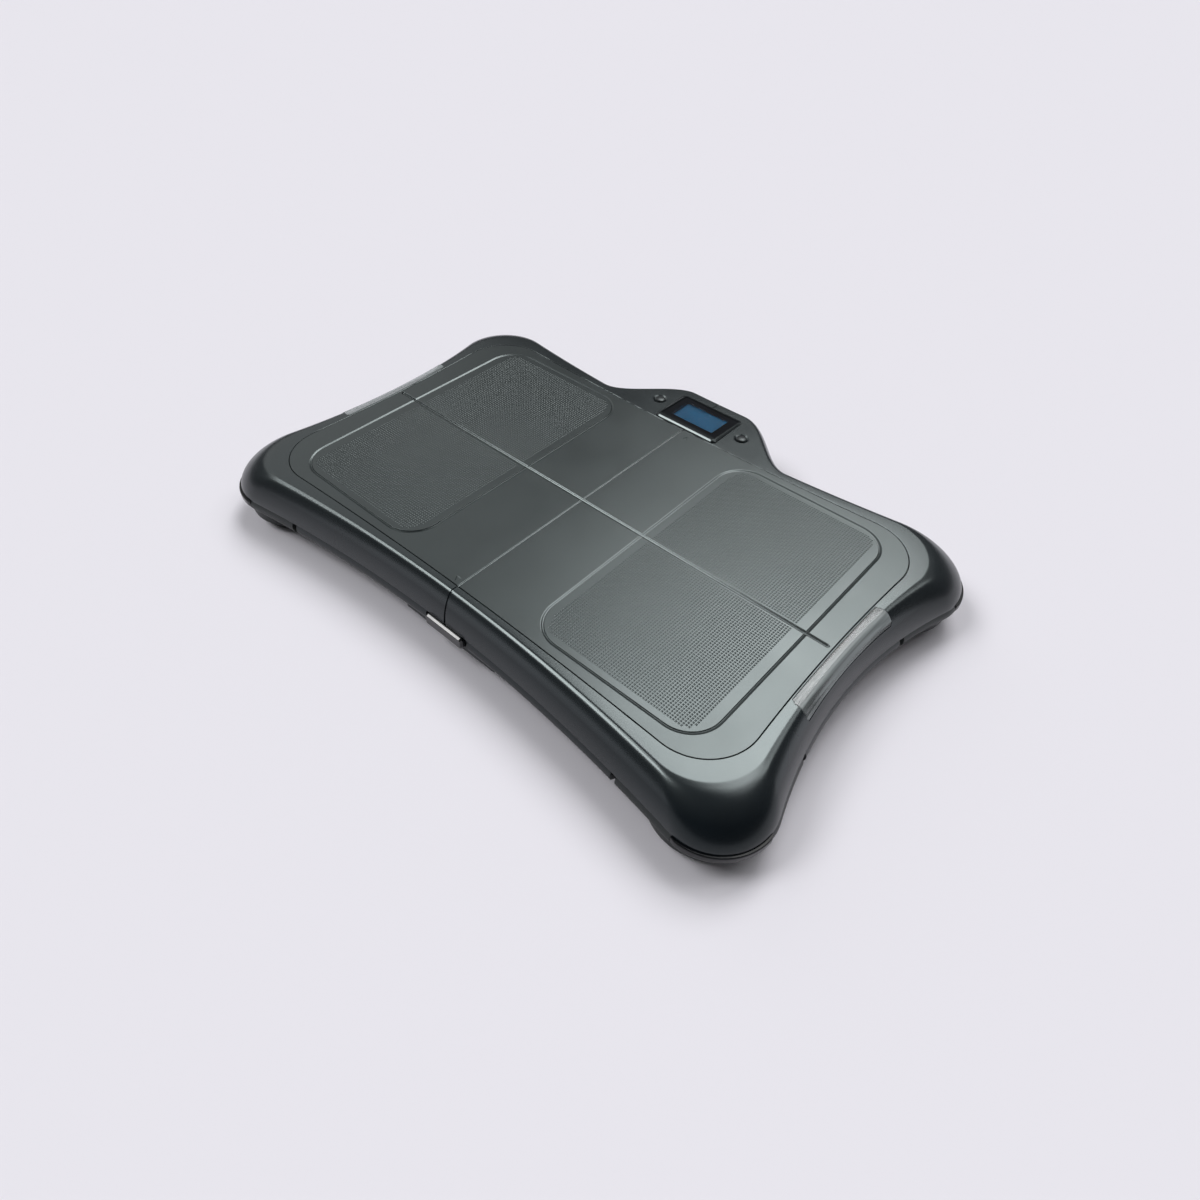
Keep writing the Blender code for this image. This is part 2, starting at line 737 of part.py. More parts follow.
def make_bottom_shell():
    """The lower shell: tray, battery pod, posts and screw tubes, open at the four feet."""
    parting = outline(PARTING)
    rings = [level(grow(parting, -BASE_IN), BASE_Z),
             level(grow(parting, -TUCK_IN), TUCK_Z),
             level(grow(parting, BELLY_OUT), BELLY_Z),
             level(parting, PARTING_Z - GAP),
             level(grow(parting, -WALL), PARTING_Z - GAP),
             level(grow(parting, BELLY_OUT - WALL), BELLY_Z),
             level(grow(parting, -TUCK_IN - WALL), TUCK_Z + WALL / 2.0),
             level(grow(parting, -BASE_IN - WALL), FLOOR_Z)]
    shell = node("bottom_shell", loft(rings), PLASTIC, smooth=True)

    pod_front = -(PARTING.depth - POD_FRONT_IN)
    pod_rear = cover_half()[2]
    high = rounded_rectangle((-POD_HALF_WIDTH, pod_front), (POD_HALF_WIDTH, pod_rear), POD_DROP)
    foot = rounded_rectangle((-POD_HALF_WIDTH + POD_SLOPE, pod_front + POD_SLOPE),
                             (POD_HALF_WIDTH - POD_SLOPE, pod_rear), POD_DROP / 2.0)
    join(shell, loft([level(foot, POD_Z), level(high, BASE_Z), level(high, TUCK_Z + WALL)]), "pod")

    half_width, half_depth = compartment()
    block_x = half_width + COVER_LEDGE + GAP + BLOCK_WALL
    block_front = -half_depth - COVER_LEDGE - GAP - BLOCK_WALL
    pocket_x = POD_HALF_WIDTH - POD_SLOPE - WALL
    join(shell, button_frame(), "button_frame")
    cut(shell, box((-pocket_x, button_seat(), POD_FLOOR_Z),
                   (pocket_x, pod_rear - WALL, PARTING_Z + WALL)), "pod_pocket")
    join(shell, box((-block_x, block_front, POD_Z + GAP),
                    (block_x, pod_rear - GAP, BATTERY_TOP_Z + BLOCK_WALL)), "battery_block")
    join(shell, together(tubes_and_posts()), "tubes_and_posts")
    cut(shell, button_opening(SLOT_MARGIN, button_seat() + WALL), "button_slot")
    cut(shell, button_opening(BUTTON_RECESS, -PARTING.depth - BELLY_OUT + BUTTON_RECESS_DEPTH),
        "button_recess")

    cut(shell, box((-half_width, -half_depth, POD_Z - WALL),
                   (half_width, half_depth, BATTERY_TOP_Z)), "battery_compartment")
    cut(shell, cover_shape(GAP, WALL), "cover_recess")
    bores = []
    for x, y in shell_screw_places():
        wide = SCREW_HEAD + SCREW_CLEARANCE
        thin = SCREW_RADIUS + SCREW_CLEARANCE
        bores.append(turned(((wide, BASE_Z - WALL), (wide, TUBE_SEAT_Z),
                             (thin, TUBE_SEAT_Z), (thin, TUBE_TOP_Z + WALL)), x, y))
    cut(shell, together(bores), "screw_bores")
    cut(shell, turned(((SYNC_RADIUS + GAP, POD_Z - WALL), (SYNC_RADIUS + GAP, POD_FLOOR_Z + WALL)),
                      0.0, -SYNC_SETBACK), "sync_hole")
    corners = [foot_area(sign_x, sign_y, GAP) for _, sign_x, sign_y in corner_signs()]
    cut(shell, together(corners), "foot_corners")
    cut(shell, together(edge_slots()), "edge_slots")
    return shell


def button_seat():
    """The y of the flat face that keeps the power button's lip in."""
    return -PARTING.depth + BUTTON_WALL - GAP


def button_frame():
    """A thicker part of the front wall, flat at the back, round the power button."""
    half = BUTTON_HALF_WIDTH + BUTTON_LIP + WALL
    return box((-half, -PARTING.depth + WALL / 2.0, BASE_Z + WALL / 2.0),
               (half, button_seat(), PARTING_Z - 2.0 * GAP))


def button_opening(margin, rear):
    """A cutter for the power button's way through the front wall, open at the top."""
    half = BUTTON_HALF_WIDTH + margin
    front = -PARTING.depth - BELLY_OUT - WALL
    return box((-half, front, button_low() - margin), (half, rear, PARTING_Z + WALL))


def button_low():
    """The height of the power button's lower edge."""
    return PARTING_Z - BUTTON_TOP_DROP - BUTTON_HEIGHT


def tubes_and_posts():
    """Screw tubes and circuit board posts, standing on the floor of the lower shell."""
    made = []
    outer = SCREW_HEAD + SCREW_CLEARANCE + TUBE_WALL
    for x, y in shell_screw_places():
        made.append(turned(((outer, BASE_Z + GAP), (outer, TUBE_TOP_Z)), x, y))
    for x, y in post_places():
        made.append(turned(((POST_RADIUS, POD_Z + GAP), (POST_RADIUS, BOARD_UNDER_Z - GAP)), x, y, 12))
    return made


def foot_area(sign_x, sign_y, margin):
    """The plan of one corner foot, as a prism through the board's whole height."""
    x_cut = foot_cuts()[0] - margin
    y_cut = foot_cuts()[1] - margin
    reach = PARTING.width + PARTING.corner
    points = [Vector((x_cut, reach)), Vector((x_cut, y_cut + FOOT_CHAMFER_Y)),
              Vector((x_cut + FOOT_CHAMFER_X, y_cut)), Vector((reach, y_cut)),
              Vector((reach, reach))]
    placed = [Vector((sign_x * p.x, sign_y * p.y)) for p in points]
    return prism(placed, -WALL, DECK_Z + WALL)


def edge_slots():
    """Short slots in the lower shell's edge, beside each foot."""
    made = []
    x_cut, y_cut = foot_cuts()
    front_y = long_side(PARTING, x_cut)
    side_x = short_side(PARTING, y_cut)
    for _, sign_x, sign_y in corner_signs():
        xs = sorted((sign_x * (x_cut - FOOT_GAP), sign_x * (x_cut + GAP)))
        ys = sorted((sign_y * (front_y - SLOT_DEPTH), sign_y * (front_y + SLOT_DEPTH)))
        made.append(box((xs[0], ys[0], -WALL), (xs[1], ys[1], DECK_Z)))
        xs = sorted((sign_x * (side_x - SLOT_DEPTH), sign_x * (side_x + SLOT_DEPTH)))
        ys = sorted((sign_y * (y_cut - FOOT_GAP), sign_y * (y_cut + GAP)))
        made.append(box((xs[0], ys[0], -WALL), (xs[1], ys[1], DECK_Z)))
    return made


# The battery compartment's cover slides in side grooves and off towards the rear

def cover_shape(margin, beyond):
    """The battery cover, a margin larger for its recess, and longer to the rear by beyond."""
    half, front, rear = cover_half()
    lip_z = POD_Z + COVER_THICK / 2.0
    narrow = half - COVER_LIP
    points = [Vector((narrow + margin, POD_Z - beyond)), Vector((narrow + margin, lip_z - margin)),
              Vector((half + margin, lip_z - margin)), Vector((half + margin, COVER_TOP_Z + margin))]
    points += [Vector((-p.x, p.y)) for p in reversed(points)]
    ends = (front - margin, rear + beyond)
    return loft([[Vector((p.x, y, p.y)) for p in points] for y in ends])


def make_battery_cover():
    """The sliding battery cover."""
    half, front, rear = cover_half()
    return node("battery_cover", cover_shape(0.0, 0.0), PLASTIC, (0.0, (front + rear) / 2.0, POD_Z))


def make_batteries():
    """The cells and their end contacts."""
    for k in range(BATTERY_COUNT):
        x = (k - (BATTERY_COUNT - 1) / 2.0) * BATTERY_PITCH
        half = BATTERY_LENGTH / 2.0
        ring = circle(BATTERY_RADIUS, x, BATTERY_Z, 12)
        cell = loft([[Vector((p.x, y, p.y)) for p in ring] for y in (-half, half)])
        node(f"battery_{k + 1}", cell, BATTERY, smooth=True)
    half_width = battery_half_width()
    near = BATTERY_LENGTH / 2.0 + GAP
    low = BATTERY_Z - CONTACT_HEIGHT / 2.0
    for name, side in (("front", -1), ("rear", 1)):
        ys = sorted((side * near, side * (near + CONTACT_THICK)))
        node(f"battery_contact_{name}", box((-half_width, ys[0], low),
                                            (half_width, ys[1], low + CONTACT_HEIGHT)), STEEL)


# Feet, bumpers and load cells

def foot_outline(distance):
    """A corner foot's outer wall in plan, in the quarter where x and y are positive."""
    edge = PARTING
    centre, x_touch, y_touch = corner_fit(edge)
    x_cut, y_cut = foot_cuts()
    run = []
    for k in range(FOOT_STEPS):
        y = y_cut + (y_touch - y_cut) * k / FOOT_STEPS
        slope = short_slope(edge, y)
        norm = math.hypot(1.0, slope)
        run.append(Vector((short_side(edge, y) + distance / norm, y - distance * slope / norm)))
    start = -math.atan(short_slope(edge, y_touch))
    end = math.pi / 2.0 + math.atan(long_slope(edge, x_touch))
    for k in range(BUMPER_STEPS + 1):
        turn = start + (end - start) * k / BUMPER_STEPS
        run.append(centre + (edge.corner + distance) * Vector((math.cos(turn), math.sin(turn))))
    for k in range(1, FOOT_STEPS + 1):
        x = x_touch + (x_cut - x_touch) * k / FOOT_STEPS
        slope = long_slope(edge, x)
        norm = math.hypot(1.0, slope)
        run.append(Vector((x - distance * slope / norm, long_side(edge, x) + distance / norm)))
    run[0].y = y_cut
    run[-1].x = x_cut
    return run


def foot_ring(distance, z, inward):
    """A closed ring of a corner foot: its outer wall, and its straight inner sides moved inward."""
    x_cut, y_cut = foot_cuts()
    run = [Vector((max(p.x, x_cut + inward), max(p.y, y_cut + inward))) for p in foot_outline(distance)]
    run.append(Vector((x_cut + inward, y_cut + FOOT_CHAMFER_Y + inward / 2.0)))
    run.append(Vector((x_cut + FOOT_CHAMFER_X + inward / 2.0, y_cut + inward)))
    return level(run, z)


def place_at_corner(bm, sign_x, sign_y):
    """Mirrors a mesh from the quarter where x and y are positive into its own corner."""
    bmesh.ops.scale(bm, vec=Vector((sign_x, sign_y, 1.0)), verts=bm.verts)
    return bm


def make_foot_housing(name, sign_x, sign_y):
    """The corner housing that carries a foot: an open tray with a round cup below."""
    rings = [foot_ring(-BASE_IN, BASE_Z, 0.0), foot_ring(-TUCK_IN, TUCK_Z, 0.0),
             foot_ring(BELLY_OUT, BELLY_Z, 0.0), foot_ring(0.0, PARTING_Z - GAP, 0.0)]
    housing = node(f"foot_housing_{name}", place_at_corner(loft(rings), sign_x, sign_y),
                   FOOT, smooth=True)
    x, y = foot_centre(1, 1)
    cup = turned(((CUP_FOOT_RADIUS, CUP_Z), (CUP_RADIUS - GAP, CUP_Z + CUP_HEIGHT / 2.0),
                  (CUP_RADIUS, CUP_Z + CUP_HEIGHT), (CUP_RADIUS, TUCK_Z + WALL)), x, y, 32)
    join(housing, place_at_corner(cup, sign_x, sign_y), f"cup_{name}")
    bumper_wall = BUMPER_THICK - BUMPER_OUT + GAP
    room = -bumper_wall - WALL
    pocket = [foot_ring(-BASE_IN - WALL, FLOOR_Z, WALL), foot_ring(-TUCK_IN - WALL, TUCK_Z + GAP, WALL),
              foot_ring(room, BELLY_Z, WALL), foot_ring(room, PARTING_Z + WALL, WALL)]
    cut(housing, place_at_corner(loft(pocket), sign_x, sign_y), f"pocket_{name}")
    hollow = turned(((CUP_FOOT_RADIUS - WALL, CUP_Z + WALL),
                     (CUP_FOOT_RADIUS - WALL, PARTING_Z)), x, y, 32)
    cut(housing, place_at_corner(hollow, sign_x, sign_y), f"cup_hollow_{name}")
    boss = turned(((BOSS_RADIUS, CUP_Z + GAP), (BOSS_RADIUS, FOOT_BOSS_Z)), x, y)
    join(housing, place_at_corner(boss, sign_x, sign_y), f"boss_{name}")
    wide = BOLT_HEAD + BOLT_CLEARANCE
    thin = BOLT_RADIUS + BOLT_CLEARANCE
    seat = bolt_seat()
    bore = turned(((wide, CUP_Z - WALL), (wide, seat), (thin, seat), (thin, FOOT_BOSS_Z + WALL)), x, y)
    cut(housing, place_at_corner(bore, sign_x, sign_y), f"bore_{name}")
    recess = bumper_band(-bumper_wall, 2.0 * WALL, GAP, GAP)
    cut(housing, place_at_corner(recess, sign_x, sign_y), f"recess_{name}")
    return housing


def bolt_seat():
    """The height at which a foot screw's head bears."""
    return CUP_Z + BOLT_HEAD_THICK + 2.0 * GAP


def bumper_band(inner, outer, margin, top_margin):
    """A quarter ring round a corner, between two distances from the parting edge."""
    centre, _, _ = corner_fit(PARTING)
    near = PARTING.corner + inner
    far = PARTING.corner + outer
    top = PARTING_Z - GAP + top_margin
    low = PARTING_Z - GAP - BUMPER_HEIGHT - margin
    spread = margin / PARTING.corner
    start = BUMPER_START_TURN - spread
    end = BUMPER_END_TURN + spread
    soft = BUMPER_EDGE if margin == 0.0 else 0.0
    rings = []
    for k in range(BUMPER_STEPS + 1):
        turn = start + (end - start) * k / BUMPER_STEPS
        way = Vector((math.cos(turn), math.sin(turn)))
        section = [(near, low), (far - soft, low), (far, low + 2.0 * soft),
                   (far, top - soft), (far - soft, top), (near, top)]
        if soft == 0.0:
            section = [(near, low), (far, low), (far, top), (near, top)]
        rings.append([Vector((*(centre + way * r), z)) for r, z in section])
    return loft(rings)


def make_corner_bumper(name, sign_x, sign_y):
    """The glossy strip round one corner."""
    band = bumper_band(BUMPER_OUT - BUMPER_THICK, BUMPER_OUT, 0.0, 0.0)
    return node(f"corner_bumper_{name}", place_at_corner(band, sign_x, sign_y), GLOSS, smooth=True)


def make_foot_rubber(name, sign_x, sign_y):
    """The rubber ring that stands on the floor."""
    x, y = foot_centre(1, 1)
    ring = tube(RUBBER_RADIUS, RUBBER_HOLE, 0.0, RUBBER_HEIGHT, x, y)
    return node(f"foot_rubber_{name}", place_at_corner(ring, sign_x, sign_y), RUBBER, smooth=True)


def make_load_cell(name, sign_x, sign_y):
    """The metal beam between a foot and the steel plate, with its two screws."""
    x, y = foot_centre(1, 1)
    inner_x = cell_inner_x(1)
    half = CELL_WIDTH / 2.0
    low_x = inner_x - CELL_END
    high_x = x + CELL_END
    top_pad = CELL_TOP_Z + CELL_PAD
    low_pad = CELL_UNDER_Z - CELL_PAD
    section = ((low_x, CELL_UNDER_Z), (high_x - CELL_PAD_LENGTH, CELL_UNDER_Z),
               (high_x - CELL_PAD_LENGTH, low_pad), (high_x, low_pad), (high_x, CELL_TOP_Z),
               (low_x + CELL_PAD_LENGTH, CELL_TOP_Z), (low_x + CELL_PAD_LENGTH, top_pad),
               (low_x, top_pad))
    bar = loft([[Vector((px, py, pz)) for px, pz in section] for py in (y - half, y + half)])
    cell = node(f"load_cell_{name}", place_at_corner(bar, sign_x, sign_y), ALLOY)
    hole = BOLT_RADIUS + BOLT_CLEARANCE
    fixed = bore(hole, CELL_UNDER_Z, top_pad, inner_x, y)
    free = turned(((hole, low_pad - WALL), (hole, CELL_TOP_Z - WALL)), x, y, 12)
    cut(cell, place_at_corner(together([fixed, free]), sign_x, sign_y), f"holes_{name}")

    head_top = CELL_UNDER_Z - GAP
    profile = ((BOLT_HEAD, head_top - BOLT_HEAD_THICK), (BOLT_HEAD, head_top),
               (BOLT_RADIUS, head_top), (BOLT_RADIUS, PLATE_TOP_Z - GAP))
    screw = turned(profile, inner_x, y, 12)
    node(f"load_cell_screw_{name}", place_at_corner(screw, sign_x, sign_y), STEEL, smooth=True)
    seat = bolt_seat() - GAP
    profile = ((BOLT_HEAD, seat - BOLT_HEAD_THICK), (BOLT_HEAD, seat),
               (BOLT_RADIUS, seat), (BOLT_RADIUS, CELL_TOP_Z - WALL - GAP))
    screw = turned(profile, x, y, 12)
    node(f"foot_screw_{name}", place_at_corner(screw, sign_x, sign_y), STEEL, smooth=True)


def make_shell_screws():
    """The screws that hold the lower shell to the upper one."""
    for k, (x, y) in enumerate(shell_screw_places()):
        seat = TUBE_SEAT_Z - GAP
        profile = ((SCREW_HEAD, seat - SCREW_HEAD_THICK), (SCREW_HEAD, seat),
                   (SCREW_RADIUS, seat), (SCREW_RADIUS, TUBE_TOP_Z + SCREW_LENGTH - GAP))
        node(f"shell_screw_{k + 1}", turned(profile, x, y, 12), STEEL, smooth=True)


# Side lights

def make_side_light(name, side):
    """The clear lens in one side of the rim, and the light strip behind it."""
    node(f"light_lens_{name}", rim_patch(side, 0.0, 0.0, WALL), CLEAR, smooth=True)
    near = short_side(SEAM, STRIP_HALF_LENGTH) + GAP + STEP_WIDTH + GAP
    xs = sorted((side * near, side * (near + STRIP_WIDTH)))
    top = DECK_Z - STRIP_DROP
    node(f"light_strip_{name}", box((xs[0], -STRIP_HALF_LENGTH, top - STRIP_THICK),
                                    (xs[1], STRIP_HALF_LENGTH, top)), BOARD)


# Display and keys

def display_plan(margin):
    """The display frame's outline, a margin larger all round."""
    front = display_front()
    half = DISPLAY_HALF_WIDTH
    points = rounded_rectangle((-half, front), (half, front + DISPLAY_DEPTH), DISPLAY_CORNER)
    return grow(points, margin)


def sloped(points, z, sink):
    """An outline raised from z to the display frame's sloping top, less sink."""
    front = display_front()
    fall = (DISPLAY_REAR_RISE - DISPLAY_FRONT_RISE) / DISPLAY_DEPTH
    top = [Vector((p.x, p.y, DECK_Z + DISPLAY_FRONT_RISE + fall * (p.y - front) - sink))
           for p in points]
    return loft([level(points, z), top])


def glass_low_z():
    """The height of the display glass's underside."""
    return DECK_Z - WINDOW_THICK - GLASS_THICK


def glass_room():
    """The cutter for the display glass's well, below the window."""
    half = WINDOW_HALF_WIDTH - WINDOW_LIP
    front = display_front() + WINDOW_FRONT_BORDER + WINDOW_LIP
    rear = display_front() + DISPLAY_DEPTH - WINDOW_REAR_BORDER - WINDOW_LIP
    return box((-half, front, glass_low_z() - WALL), (half, rear, DECK_Z - WINDOW_THICK + GAP))


def make_display():
    """The display's frame, window, glass and circuit board."""
    front = display_front()
    rear = front + DISPLAY_DEPTH
    seat = LEDGE_Z + GAP
    bezel = node("display_bezel", sloped(display_plan(0.0), seat, 0.0), GLOSS)
    win_front = front + WINDOW_FRONT_BORDER
    win_rear = rear - WINDOW_REAR_BORDER
    step_z = DECK_Z - WINDOW_THICK
    cut(bezel, box((-WINDOW_HALF_WIDTH - GAP, win_front - GAP, step_z),
                   (WINDOW_HALF_WIDTH + GAP, win_rear + GAP, DECK_Z + 2.0 * WALL)), "window_room")
    cut(bezel, glass_room(), "glass_room")
    pane = [Vector((-WINDOW_HALF_WIDTH, win_front)), Vector((WINDOW_HALF_WIDTH, win_front)),
            Vector((WINDOW_HALF_WIDTH, win_rear)), Vector((-WINDOW_HALF_WIDTH, win_rear))]
    node("display_window", sloped(pane, step_z + GAP, WINDOW_SINK), WINDOW)
    lip = WINDOW_LIP + GAP
    node("display_glass", box((-WINDOW_HALF_WIDTH + lip, win_front + lip, glass_low_z()),
                              (WINDOW_HALF_WIDTH - lip, win_rear - lip, step_z)), SCREEN)
    board_top = glass_low_z() - GAP
    middle = key_places()[0][2]
    half = DISPLAY_BOARD_DEPTH / 2.0
    node("display_board", box((-DISPLAY_BOARD_HALF, middle - half, board_top - BOARD_THICK),
                              (DISPLAY_BOARD_HALF, middle + half, board_top)), BOARD)
    for name, x, y in key_places():
        flange_top = RIM_UNDER_Z - GAP
        flange_low = flange_top - KEY_FLANGE_THICK
        wide = KEY_RADIUS + KEY_FLANGE
        profile = ((wide, flange_low), (wide, flange_top), (KEY_RADIUS, flange_top),
                   (KEY_RADIUS, DECK_Z + KEY_RISE))
        node(f"key_{name}", turned(profile, x, y, 24), GLOSS, (x, y, DECK_Z), smooth=True)
        size = KEY_SWITCH_SIZE / 2.0
        node(f"key_switch_{name}",
             box((x - size, y - size, board_top + GAP),
                 (x + size, y + size, flange_low - KEY_TRAVEL - GAP)), SWITCH)


# Electronics and controls at the front

def make_main_board():
    """The main circuit board and the two switches under it."""
    front = board_front()
    node("main_board", box((-BOARD_HALF_WIDTH, front, BOARD_UNDER_Z),
                           (BOARD_HALF_WIDTH, front + BOARD_DEPTH, BOARD_UNDER_Z + BOARD_THICK)), BOARD)
    top = BOARD_UNDER_Z - GAP
    half = POWER_SWITCH_WIDTH / 2.0
    node("power_switch", box((-half, front, top - POWER_SWITCH_HEIGHT),
                             (half, front + POWER_SWITCH_DEPTH, top)), SWITCH)
    half = SYNC_SWITCH_SIZE / 2.0
    node("sync_switch", box((-half, -SYNC_SETBACK - half, top - SYNC_SWITCH_THICK),
                            (half, -SYNC_SETBACK + half, top)), SWITCH)


def make_power_button():
    """The power bar in the front wall, with the lip that keeps it in its slot."""
    low = button_low()
    top = low + BUTTON_HEIGHT
    face = -PARTING.depth - BELLY_OUT - BUTTON_OUT
    lip_front = button_seat() + GAP
    lip_rear = lip_front + BUTTON_LIP_THICK
    half = BUTTON_HALF_WIDTH
    bar = rounded_rectangle((-half, low), (half, top), BUTTON_HEIGHT / 5.0)
    tip = rounded_rectangle((-half + BUMPER_EDGE, low + BUMPER_EDGE),
                            (half - BUMPER_EDGE, top - BUMPER_EDGE), BUTTON_HEIGHT / 8.0)
    lip = rounded_rectangle((-half - BUTTON_LIP + GAP, low - BUTTON_LIP + GAP),
                            (half + BUTTON_LIP - GAP, top + BUTTON_LIP - GAP), BUTTON_HEIGHT / 5.0)
    stations = ((tip, face), (bar, face + BUMPER_EDGE), (bar, lip_front),
                (lip, lip_front), (lip, lip_rear))
    rings = [[Vector((p.x, y, p.y)) for p in points] for points, y in stations]
    node("power_button", loft(rings), GLOSS, (0.0, lip_front, (low + top) / 2.0), smooth=True)


def make_sync_button():
    """The small pairing button in the pod, whose stem reaches the main circuit board."""
    tip = BOARD_UNDER_Z - 2.0 * GAP - SYNC_SWITCH_THICK - SYNC_TRAVEL
    flange_low = POD_FLOOR_Z + GAP
    flange_top = flange_low + SYNC_FLANGE_THICK
    profile = ((SYNC_RADIUS, POD_Z + SYNC_SINK), (SYNC_RADIUS, flange_low), (SYNC_FLANGE, flange_low),
               (SYNC_FLANGE, flange_top), (SYNC_STEM, flange_top), (SYNC_STEM, tip))
    node("sync_button", turned(profile, 0.0, -SYNC_SETBACK, 16), ACCENT,
         (0.0, -SYNC_SETBACK, POD_Z + SYNC_SINK), smooth=True)


for old in list(bpy.data.objects):
    bpy.data.objects.remove(old, do_unlink=True)

PLASTIC = material("shell_plastic", (0.022, 0.024, 0.026), 0.55)
DECK = material("deck_plastic", (0.050, 0.054, 0.054), 0.70)
FOOT = material("foot_plastic", (0.045, 0.047, 0.042), 0.35)
GLOSS = material("gloss_black", (0.008, 0.008, 0.010), 0.12)
RUBBER = material("foot_rubber", (0.020, 0.020, 0.020), 0.90)
STEEL = material("zinc_steel", (0.560, 0.570, 0.580), 0.40, 1.0)
ALLOY = material("cell_aluminium", (0.720, 0.720, 0.730), 0.35, 1.0)
CLEAR = material("clear_lens", (0.620, 0.660, 0.670), 0.08)
WINDOW = material("window_black", (0.006, 0.007, 0.009), 0.08)
SCREEN = material("display_blue", (0.035, 0.110, 0.220), 0.25)
BOARD = material("circuit_green", (0.020, 0.110, 0.050), 0.50)
SWITCH = material("switch_black", (0.030, 0.030, 0.030), 0.60)
BATTERY = material("battery_sleeve", (0.250, 0.260, 0.280), 0.35)
ACCENT = material("sync_red", (0.420, 0.030, 0.030), 0.45)

# The origin stands under the middle of the whole outline, bumpers and display bump included
ROOT = bpy.data.objects.new("board_root", None)
bpy.context.scene.collection.objects.link(ROOT)
FRONT_REACH = corner_fit(PARTING)[0].y + PARTING.corner + BUMPER_OUT
REAR_REACH = PARTING.depth + PARTING.bump + BELLY_OUT
ROOT.location = (0.0, (FRONT_REACH - REAR_REACH) / 2.0, 0.0)

make_top_shell()
make_deck_panel()
make_support_plate()
make_bottom_shell()
make_battery_cover()
make_batteries()
for corner, sign_x, sign_y in corner_signs():
    make_foot_housing(corner, sign_x, sign_y)
    make_corner_bumper(corner, sign_x, sign_y)
    make_foot_rubber(corner, sign_x, sign_y)
    make_load_cell(corner, sign_x, sign_y)
make_shell_screws()
make_side_light("left", -1)
make_side_light("right", 1)
make_display()
make_main_board()
make_power_button()
make_sync_button()
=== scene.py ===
# Balance board controller: the visible pieces, materials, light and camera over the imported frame.
# Shapes are made in a frame whose origin is on the floor under the deck's middle, in metres.
import json
import math
from collections import namedtuple

import bmesh
import bpy
from mathutils import Matrix, Vector
from mathutils.geometry import delaunay_2d_cdt

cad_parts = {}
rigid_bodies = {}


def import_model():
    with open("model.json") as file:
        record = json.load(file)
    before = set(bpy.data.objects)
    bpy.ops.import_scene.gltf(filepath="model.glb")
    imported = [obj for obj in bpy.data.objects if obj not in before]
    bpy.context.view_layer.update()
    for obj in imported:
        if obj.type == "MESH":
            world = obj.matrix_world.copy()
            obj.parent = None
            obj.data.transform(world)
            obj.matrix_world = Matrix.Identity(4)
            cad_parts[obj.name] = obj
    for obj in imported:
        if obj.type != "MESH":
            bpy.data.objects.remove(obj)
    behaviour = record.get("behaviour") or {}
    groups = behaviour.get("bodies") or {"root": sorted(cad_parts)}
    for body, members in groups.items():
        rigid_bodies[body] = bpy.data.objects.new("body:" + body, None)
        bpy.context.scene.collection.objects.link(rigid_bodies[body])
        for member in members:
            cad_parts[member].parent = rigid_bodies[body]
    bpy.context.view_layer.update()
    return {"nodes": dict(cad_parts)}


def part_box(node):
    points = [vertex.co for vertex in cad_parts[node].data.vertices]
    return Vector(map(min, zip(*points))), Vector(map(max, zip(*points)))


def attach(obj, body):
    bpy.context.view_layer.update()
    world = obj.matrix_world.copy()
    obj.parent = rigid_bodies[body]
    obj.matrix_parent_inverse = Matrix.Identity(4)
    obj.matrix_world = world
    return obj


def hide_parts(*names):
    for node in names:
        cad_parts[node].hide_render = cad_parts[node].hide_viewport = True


for startup in list(bpy.data.objects):
    bpy.data.objects.remove(startup, do_unlink=True)
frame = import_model()

# Places and heights taken from the frame
MIDDLE_Y = sum(corner.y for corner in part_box("deck_panel")) / 2
GAP = 0.0003
FINE_GAP = 0.00008
HAIR = 0.00002
WALL = 0.0026
CORE_Z, DECK_Z = (corner.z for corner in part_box("deck_panel"))
PARTING_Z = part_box("corner_bumper_front_left")[1].z + GAP
RIM_HEIGHT = DECK_Z - PARTING_Z
BELLY_Z = PARTING_Z - 0.0048
TUCK_Z = PARTING_Z - 0.0118
BASE_Z = PARTING_Z - 0.0153
FLOOR_Z = BASE_Z + WALL
POD_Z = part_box("bottom_shell")[0].z
BELLY_OUT = 0.0013
TUCK_IN = 0.0025
BASE_IN = 0.0090
RIM_POWER = 1.53
RIM_EASE = 0.0095
RIM_EASE_PLACE = 0.054
RIM_EASE_SPREAD = 0.08
CORNERS = (("front_left", -1, -1), ("front_right", 1, -1),
           ("rear_left", -1, 1), ("rear_right", 1, 1))

# The board's outline. A bow is how far out a waisted edge has come towards its ends.
Edge = namedtuple("Edge", "depth depth_bow width width_bow corner bump flat end")
SEAM = Edge(0.12465, 0.0066, 0.21695, 0.0056, 0.0385, 0, 0.0257, 0.0954)
SHOULDER = Edge(0.12965, 0.0161, 0.22325, 0.0129, 0.0400, 0.0468, 0.0257, 0.0954)
PARTING = Edge(0.14075, 0.0220, 0.23515, 0.0307, 0.0385, 0.0468, 0.0303, 0.1000)
Corner = namedtuple("Corner", "centre x y start end")
FIT_ROUNDS = 60

# Points along the outline and down the rim
SIDE_STEPS = 16
ARC_STEPS = 22
FRONT_STEPS = 24
PLAIN_STEPS = 10
BUMP_STEPS = 36
FLAT_STEPS = 6
RIM_STEPS = 20
RIM_TURNS = [math.pi / 2 * k / RIM_STEPS for k in range(RIM_STEPS + 1)]
FILLET_STEPS = 3
SEAM_FILLET = 0.00035
SEAM_LIP = 0.0006
SHOULDER_INSET = 0.0011
INNER_FROM = math.radians(35)

